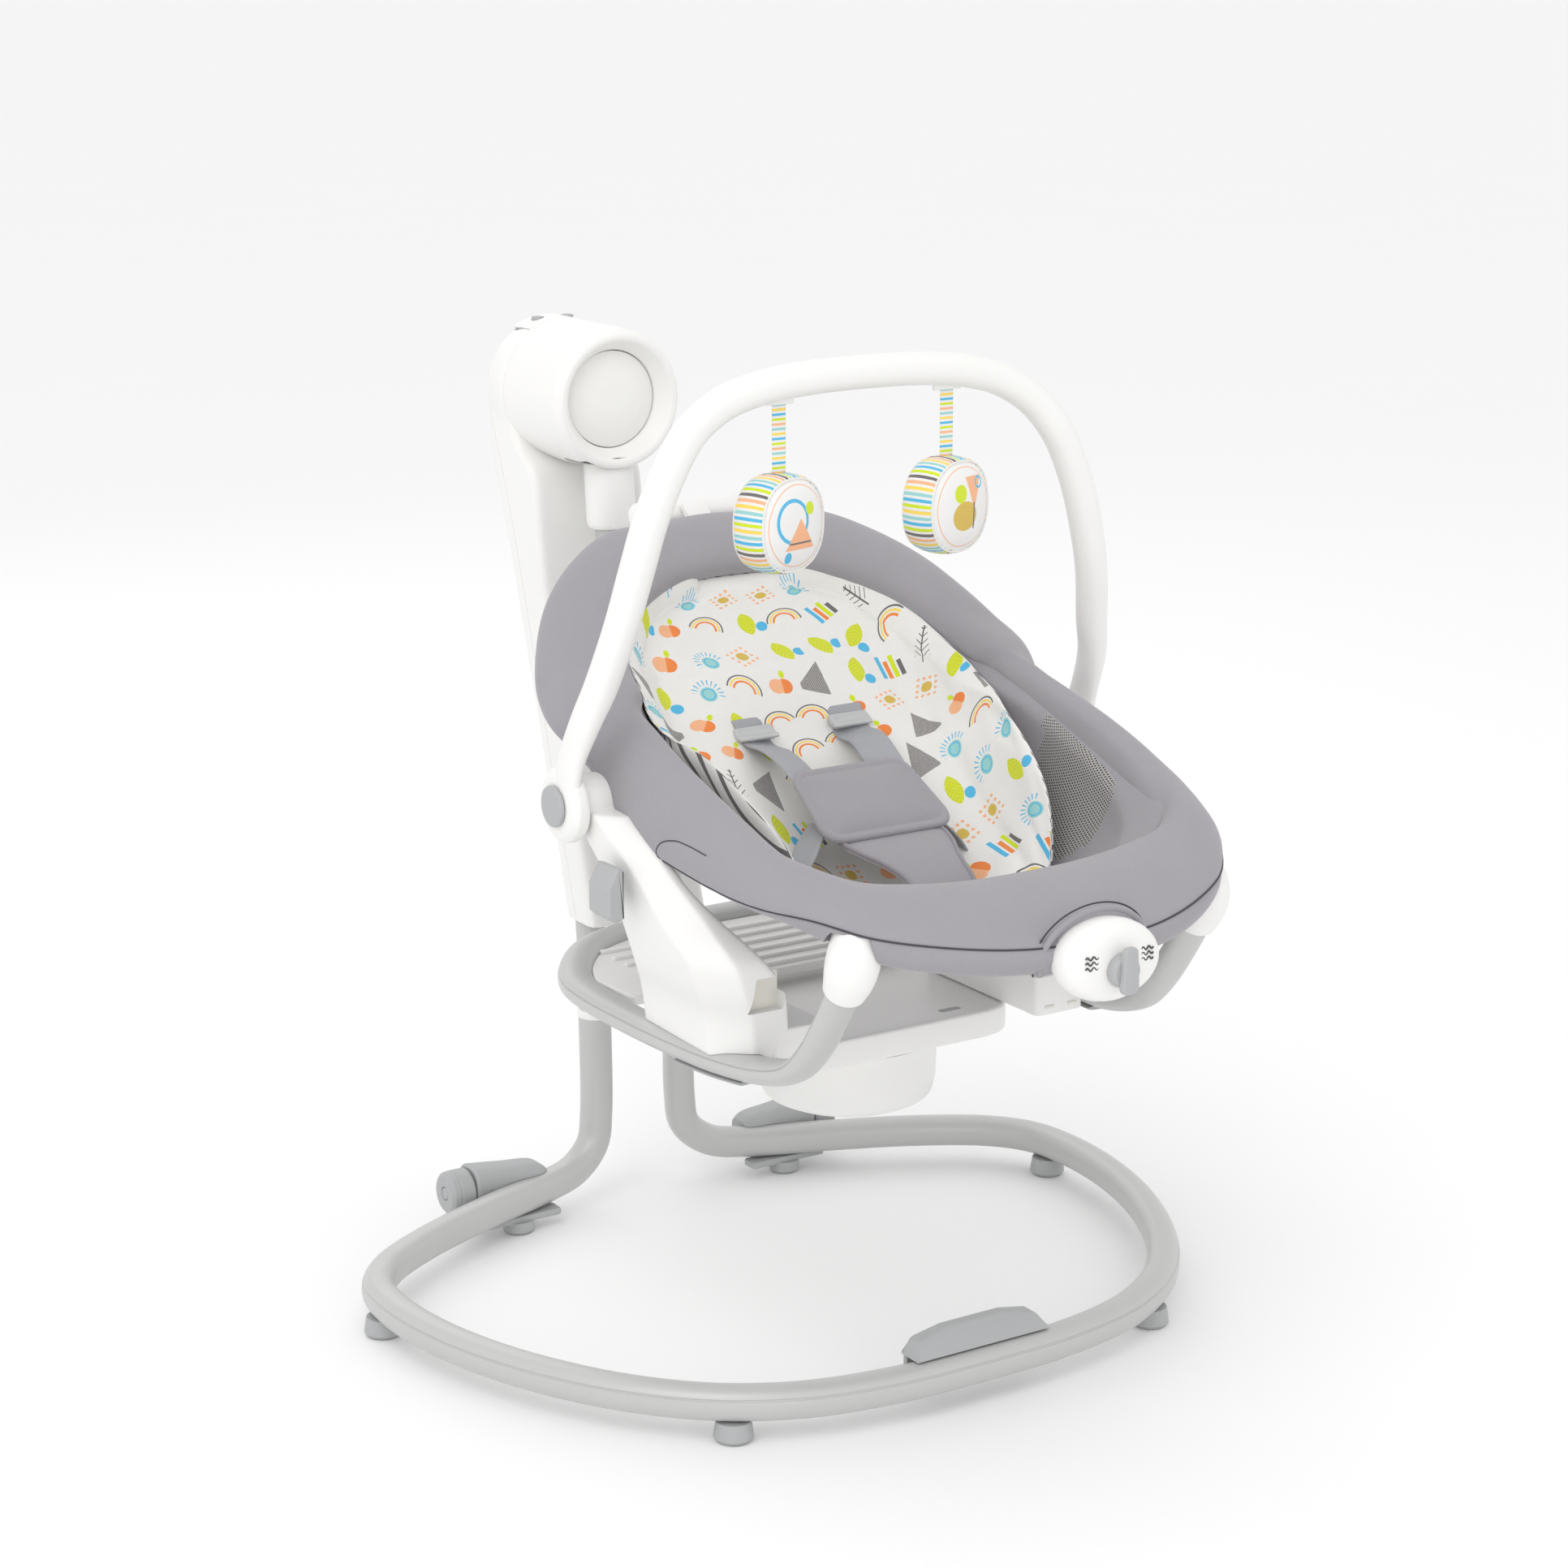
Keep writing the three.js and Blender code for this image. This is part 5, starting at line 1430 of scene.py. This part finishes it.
def shoulder_and_waist(side):
    """One side's shoulder strap with its adjuster, and the waist loop."""
    low, out = pad_surface(5.3, side * 54)
    high, _ = pad_surface(5.95, side * 52)
    run = [low - out * 6, low + out * 3, high + out * 5, (side * 47, -146, 518), (side * 44, -168, 510),
           (side * 42, -188, 499), (side * 41, -198, 493)]
    shoulder = strap("strap", run, [33], 2.6, WEBBING, tuple(out))

    middle, out = pad_surface(5.75, side * 53)
    tilt = math.atan2(-out[1], out[2])
    profile = [(16, 0), (1.5, 0), (0.4, 0.5), (0, 1.8), (0.2, 4.2), (1.4, 5.6), (3, 6), (4.2, 5.2), (16, 5)]
    place = facing(*(middle + out * 4.5), tilt)
    adjuster = cushioned("adjuster", rounded_box(20.5, 7.5, 5), profile, WEB_PLASTIC, place)
    profile = [(2.4, 0), (0.5, 0.2), (0, 1.2), (0.5, 2.6), (2.4, 3)]
    place = facing(*(middle + out * 8), tilt) @ Matrix.Translation((0, -6.5, 0))
    bar = cushioned("bar", rounded_box(20.5, 2.6, 2.4), profile, WEB_PLASTIC, place)

    run = [(44, -214, 470), (62, -224, 460), (76, -232, 446), (86, -230, 433), (95, -214, 430), (104, -196, 440)]
    waist = strap("waist", [(side * x, y, z) for x, y, z in run], [30], 2.6, WEBBING, (side * 0.7, 0, 0.7))
    return [shoulder, adjuster, bar, waist]


def harness():
    run = [(0, -326, 404), (0, -336, 416), (0, -337, 428), (0, -325, 439), (0, -300, 449), (0, -272, 456),
           (0, -250, 460), (0, -226, 466)]
    pieces = shoulder_and_waist(-1) + shoulder_and_waist(1)
    widths_ = [58, 59, 60, 64, 74, 90, 100, 100, 92]
    pieces.append(strap("crotch", run, widths_, 7, RIM_CLOTH, (0, -0.8, 0.5), True))
    profile = [(20, 0), (1.6, 0), (0, 2), (0, 9), (2.2, 12), (20, 12.6)]
    buckle = cushioned("buckle", rounded_box(26, 18, 7), profile, WEB_PLASTIC, facing(0, -226, 452, 0.35))
    put(joined("harness_straps", *pieces), "rocker", "gray_fabric", "crotch_strap")
    put(buckle, "rocker", "gray_plastic", "harness_buckle")
    buckle.name = "harness_buckle_fine"

    profile = [  # it dips at the sewn edge
        (36, -4.6), (8, -4.2), (2.4, -3.6), (0.4, -1.8), (0, 0), (0.6, 2.2), (2.6, 3.4), (5.2, 3.3), (7.2, 2.5),
        (8.2, 2.2), (9.2, 2.6), (12, 4.2), (18, 5.8), (27, 6.9), (36, 7.2),
    ]
    outline = fillet([(67, -45, 22), (59, 44, 20), (-59, 44, 20), (-67, -45, 22)], 18, 10, closed=True)
    pad = cushioned("belly_pad_fine", outline, profile, RIM_CLOTH, facing(0, -219, 485, 0.52), 75)
    refine(pad, sharp=75)
    put(pad, "rocker", "gray_fabric", "belly_pad")


# ---- vibration unit -----------------------------------------------------------------------------
def vibration_unit():
    y, z = VIBRATION
    egg = [(math.cos(a) * 46, math.sin(a) * 33)
           for a in np.linspace(0, 2 * math.pi, 96, endpoint=False)]
    profile = [(30, -20), (12, -20), (4.5, -17), (1.2, -11), (0, -3), (0.2, 4), (1.6, 9), (4.2, 13), (8, 15.4),
               (16, 17.2), (26, 17.8), (32.5, 18)]
    housing = cushioned("housing", egg, profile, WHITE, stood_up(0, y, z, -1), 50)
    stem = slab("stem", rounded_box(26, 13, 6), -528 - y, -516 - y, 1, WHITE, stood_up(0, y, z - 5))
    marks = []
    for x in (-27, 27):
        for level in (9, 4.8, 0.6):
            line = [(x + d, y - 16.8 - 0.2 * (6 - abs(d)) / 6, z + level + 1.3 * math.sin(d * 1.05))
                    for d in np.linspace(-6, 6, 17)]
            marks.append(sweep("mark", np.array(line), oval(0.7, 0.7, 8), (0, 1, 0), INK))
    put(joined("vibration_housing_fine", housing, stem, *marks), "rocker", "white_plastic", "vibration_housing")

    profile = [(0, -27.4), (12.2, -27.4, 2), (13.4, -24, 1), (13.6, -18.4), (0, -18.4)]
    disc = turned("disc", profile, (0, y, z - 4), "y", GRAY, 56)
    grip_outline = fillet([(8.4, -17, 6), (6.2, 21, 5), (-6.2, 21, 5), (-8.4, -17, 6)], 5, 6, closed=True)
    grip = slab("grip", grip_outline, 26, 33, 2.2, GRAY, stood_up(0, y, z - 4, -1))
    put(joined("vibration_knob_fine", grip, disc), "vibration_knob", "gray_plastic", "vibration_knob")


# ---- recline handle, toy arch and toys ----------------------------------------------------------
def recline_handle():
    back = Matrix.Translation((0, *HINGE)) @ Matrix.Rotation(BACK, 4, "X")
    place = back @ Matrix.Translation((0, 302, -22))
    outline = fillet([(62, -12, 8), (56, 12, 11), (-56, 12, 11), (-62, -12, 8)], 9, 8, closed=True)
    profile = [(11, -8), (3, -7.6), (0.6, -6), (0, -2), (0.4, 3.4), (2.4, 6), (6, 7.2), (11, 7.6)]
    grip = cushioned("grip", outline, profile, WHITE, place, 50)
    marks = []
    for x, half, up in ((-33, 5, -4.6), (-32, 7.5, 0), (-31, 5, 4.6)):
        corners = [(x - half, -1.5), (x + half - 2, -1.5), (x + half, 1.5), (x - half + 2, 1.5)]
        mark = fillet(corners, 0.5, 3, closed=True)
        marks.append(slab("mark", mark, 7.0, 7.9, 0.3, INK, place @ Matrix.Translation((0, up, 0))))
    stem = slab("stem", rounded_box(12, 18, 3), 0, 7, 1.2, WHITE, back @ Matrix.Translation((0, 282, -13)))
    put(joined("recline_handle_fine", grip, stem, *marks), "recline_handle", "white_plastic", "recline_handle")


ARCH = [
    (264, -164, 512, 7.7, 18), (264, -175, 546, 8, 15.5), (259, -190, 580, 11, 14.5), (250, -200, 610, 13, 14),
    (238, -213, 660, 13.5, 14), (226, -218, 705, 14, 14), (213, -219, 745, 14, 14), (195, -218, 783, 14, 14),
    (172, -213, 812, 14, 14), (140, -209, 832, 14, 14), (100, -208, 843, 14, 14), (50, -208, 848, 14, 14),
    (0, -208, 849, 14, 14),
]


def toy_arch():
    stations = smooth(ARCH[::-1], 90)
    path, sizes = stations[:, :3], stations[:, 3:]
    rings = []
    for point, (a, b), (width, depth) in zip(path, path_frames(path, (0, 1, 0)), sizes):
        rings.append([point + a * u + b * v for u, v in oval(depth, width, 36, 2.3)])
    rings = np.array(rings)
    rings = np.concatenate([(rings[1:] * np.array([-1, 1, 1]))[::-1], rings])
    arch = skin("arch", placed(rings), WHITE)
    boss_profile = [(0, 256), (31, 256, 1), (32, 259, 1), (32, 266, 4), (27, 270.4, 5), (20, 271.7, 1),
                    (8.4, 271.7), (8.4, 256)]
    bosses = []
    for side in (1, -1):
        boss = turned("boss", boss_profile, (0, *HINGE), "x", WHITE, 96)
        if side < 0:
            flip_side(boss)
        loop = slab("loop", rounded_box(14, 2.4, 2), HOOK[2] - 5, HOOK[2] + 6, 1, WHITE,
                    Matrix.Translation((side * HOOK[0], HOOK[1], 0)))
        bosses += [boss, loop]
    put(joined("toy_arch_fine", arch, *bosses), "toy_arch", "white_plastic", "toy_arch")


def pod_edge(angles):
    """The radius of a pod's outline at each angle, as a share of its half width: rounder than a square."""
    power = 2.35
    return (np.abs(np.cos(angles)) ** power + np.abs(np.sin(angles)) ** power) ** (-1 / power)


def pod_body(name, look, turn):
    """The stuffed pod, face and side wall, at its place in mm, its sides mapped for stripes."""
    half = POD["half"]
    wall = 38.5  # faces further out than this belong to the side
    wrap = 43.06  # stripes run round the side at this many mm to the radian
    profile = [(0, -half - 1.5), (8, -half - 1.4), (20, -half - 0.6), (30, -half + 1.4), (36, -half + 4),
               (38.2, -half + 5.6), (40.2, -half + 6.4), (41.6, -half + 9), (42.8, -5), (43, 0)]
    angles = np.linspace(0, 2 * math.pi, 96, endpoint=False)
    edge = pod_edge(angles)
    rings = []
    for r, h in profile + [(r, -h) for r, h in profile[:-1][::-1]]:
        gather = 1 + 0.006 * np.sin(angles * 31) * (1 if 37 < r < 42.5 else 0)
        reach = r * edge * gather
        rings.append(np.column_stack([reach * np.cos(angles) * POD["slim"], np.full(96, h),
                                      reach * np.sin(angles) * POD["slim"]]))
    pod = skin(name, placed(at_place(rings, turn)), look, sharp=75)
    pod.data.materials.append(POD_STRIPES)
    inverse = turn.inverted()
    layer = pod.data.uv_layers[0].data
    for face in pod.data.polygons:
        middle = inverse @ unplaced(face.center)
        outside = math.hypot(middle.x, middle.z) > wall
        face.material_index = 1 if outside else 0
        spread = math.atan2(middle.z, middle.x)
        for loop in face.loop_indices:
            p = inverse @ unplaced(pod.data.vertices[pod.data.loops[loop].vertex_index].co)
            if outside:
                angle = math.atan2(p.z, p.x)
                angle = spread + (angle - spread + math.pi) % (2 * math.pi) - math.pi
                layer[loop].uv = (angle * wrap * MM, p.y * MM)
            else:
                layer[loop].uv = (p.x * MM, p.z * MM)
    return pod


def toys():
    angles = np.linspace(0, 2 * math.pi, 97)
    reach = 39.6 * (pod_edge(angles) * POD["slim"])
    for side, name, look in ((-1, "toy_left", POD_FACE_A), (1, "toy_right", POD_FACE_B)):
        x, y, z = side * HOOK[0], HOOK[1], HOOK[2] - POD["drop"]
        turn = Matrix.Translation((x, y, z)) @ Matrix.Rotation(POD["turn"], 4, "Z")
        pod = pod_body(name, look, turn)
        seams = []
        for h in (6 - POD["half"], POD["half"] - 6):
            ring = np.column_stack([reach * np.cos(angles), np.full(97, h * 1.02), reach * np.sin(angles)])
            line = at_place([ring], turn)[0]
            seams.append(sweep("seam", line, oval(0.9, 0.9, 8), (0, 1, 0), POD_CLOTH, closed_ends=False))
        heights = (HOOK[2] - 4, HOOK[2] - 20, HOOK[2] - 40, z + POD["radius"] * POD["slim"] - 3)
        ribbon = strap("ribbon", [(x, y, h) for h in heights], [13], 1.4, RIBBON, (0, 1, 0))
        toy = joined(name + "_fine", pod, ribbon, *seams)
        put(toy, name, "printed_fabric", name)


# ---- assembly -----------------------------------------------------------------------------------
def look(material, *nodes):
    for name in nodes:
        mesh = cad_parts[name].data
        mesh.materials.clear()
        mesh.materials.append(material)


def inner_pieces():
    look(STEEL, "swing_shaft", "arm_lever", "drive_motor", "seat_ring", "back_frame", "vibration_motor")
    look(GRAY, "bearing_plate", "motor_plate")
    look(CREAM, "sector_gear", "drive_pinion")
    look(BOARD, "circuit_board")


studio()
inner_pieces()
floor_base()
post_and_head()
swing_arm()
rocker()
rim()
lining()
print_pad()
harness()
vibration_unit()
recline_handle()
toy_arch()
toys()
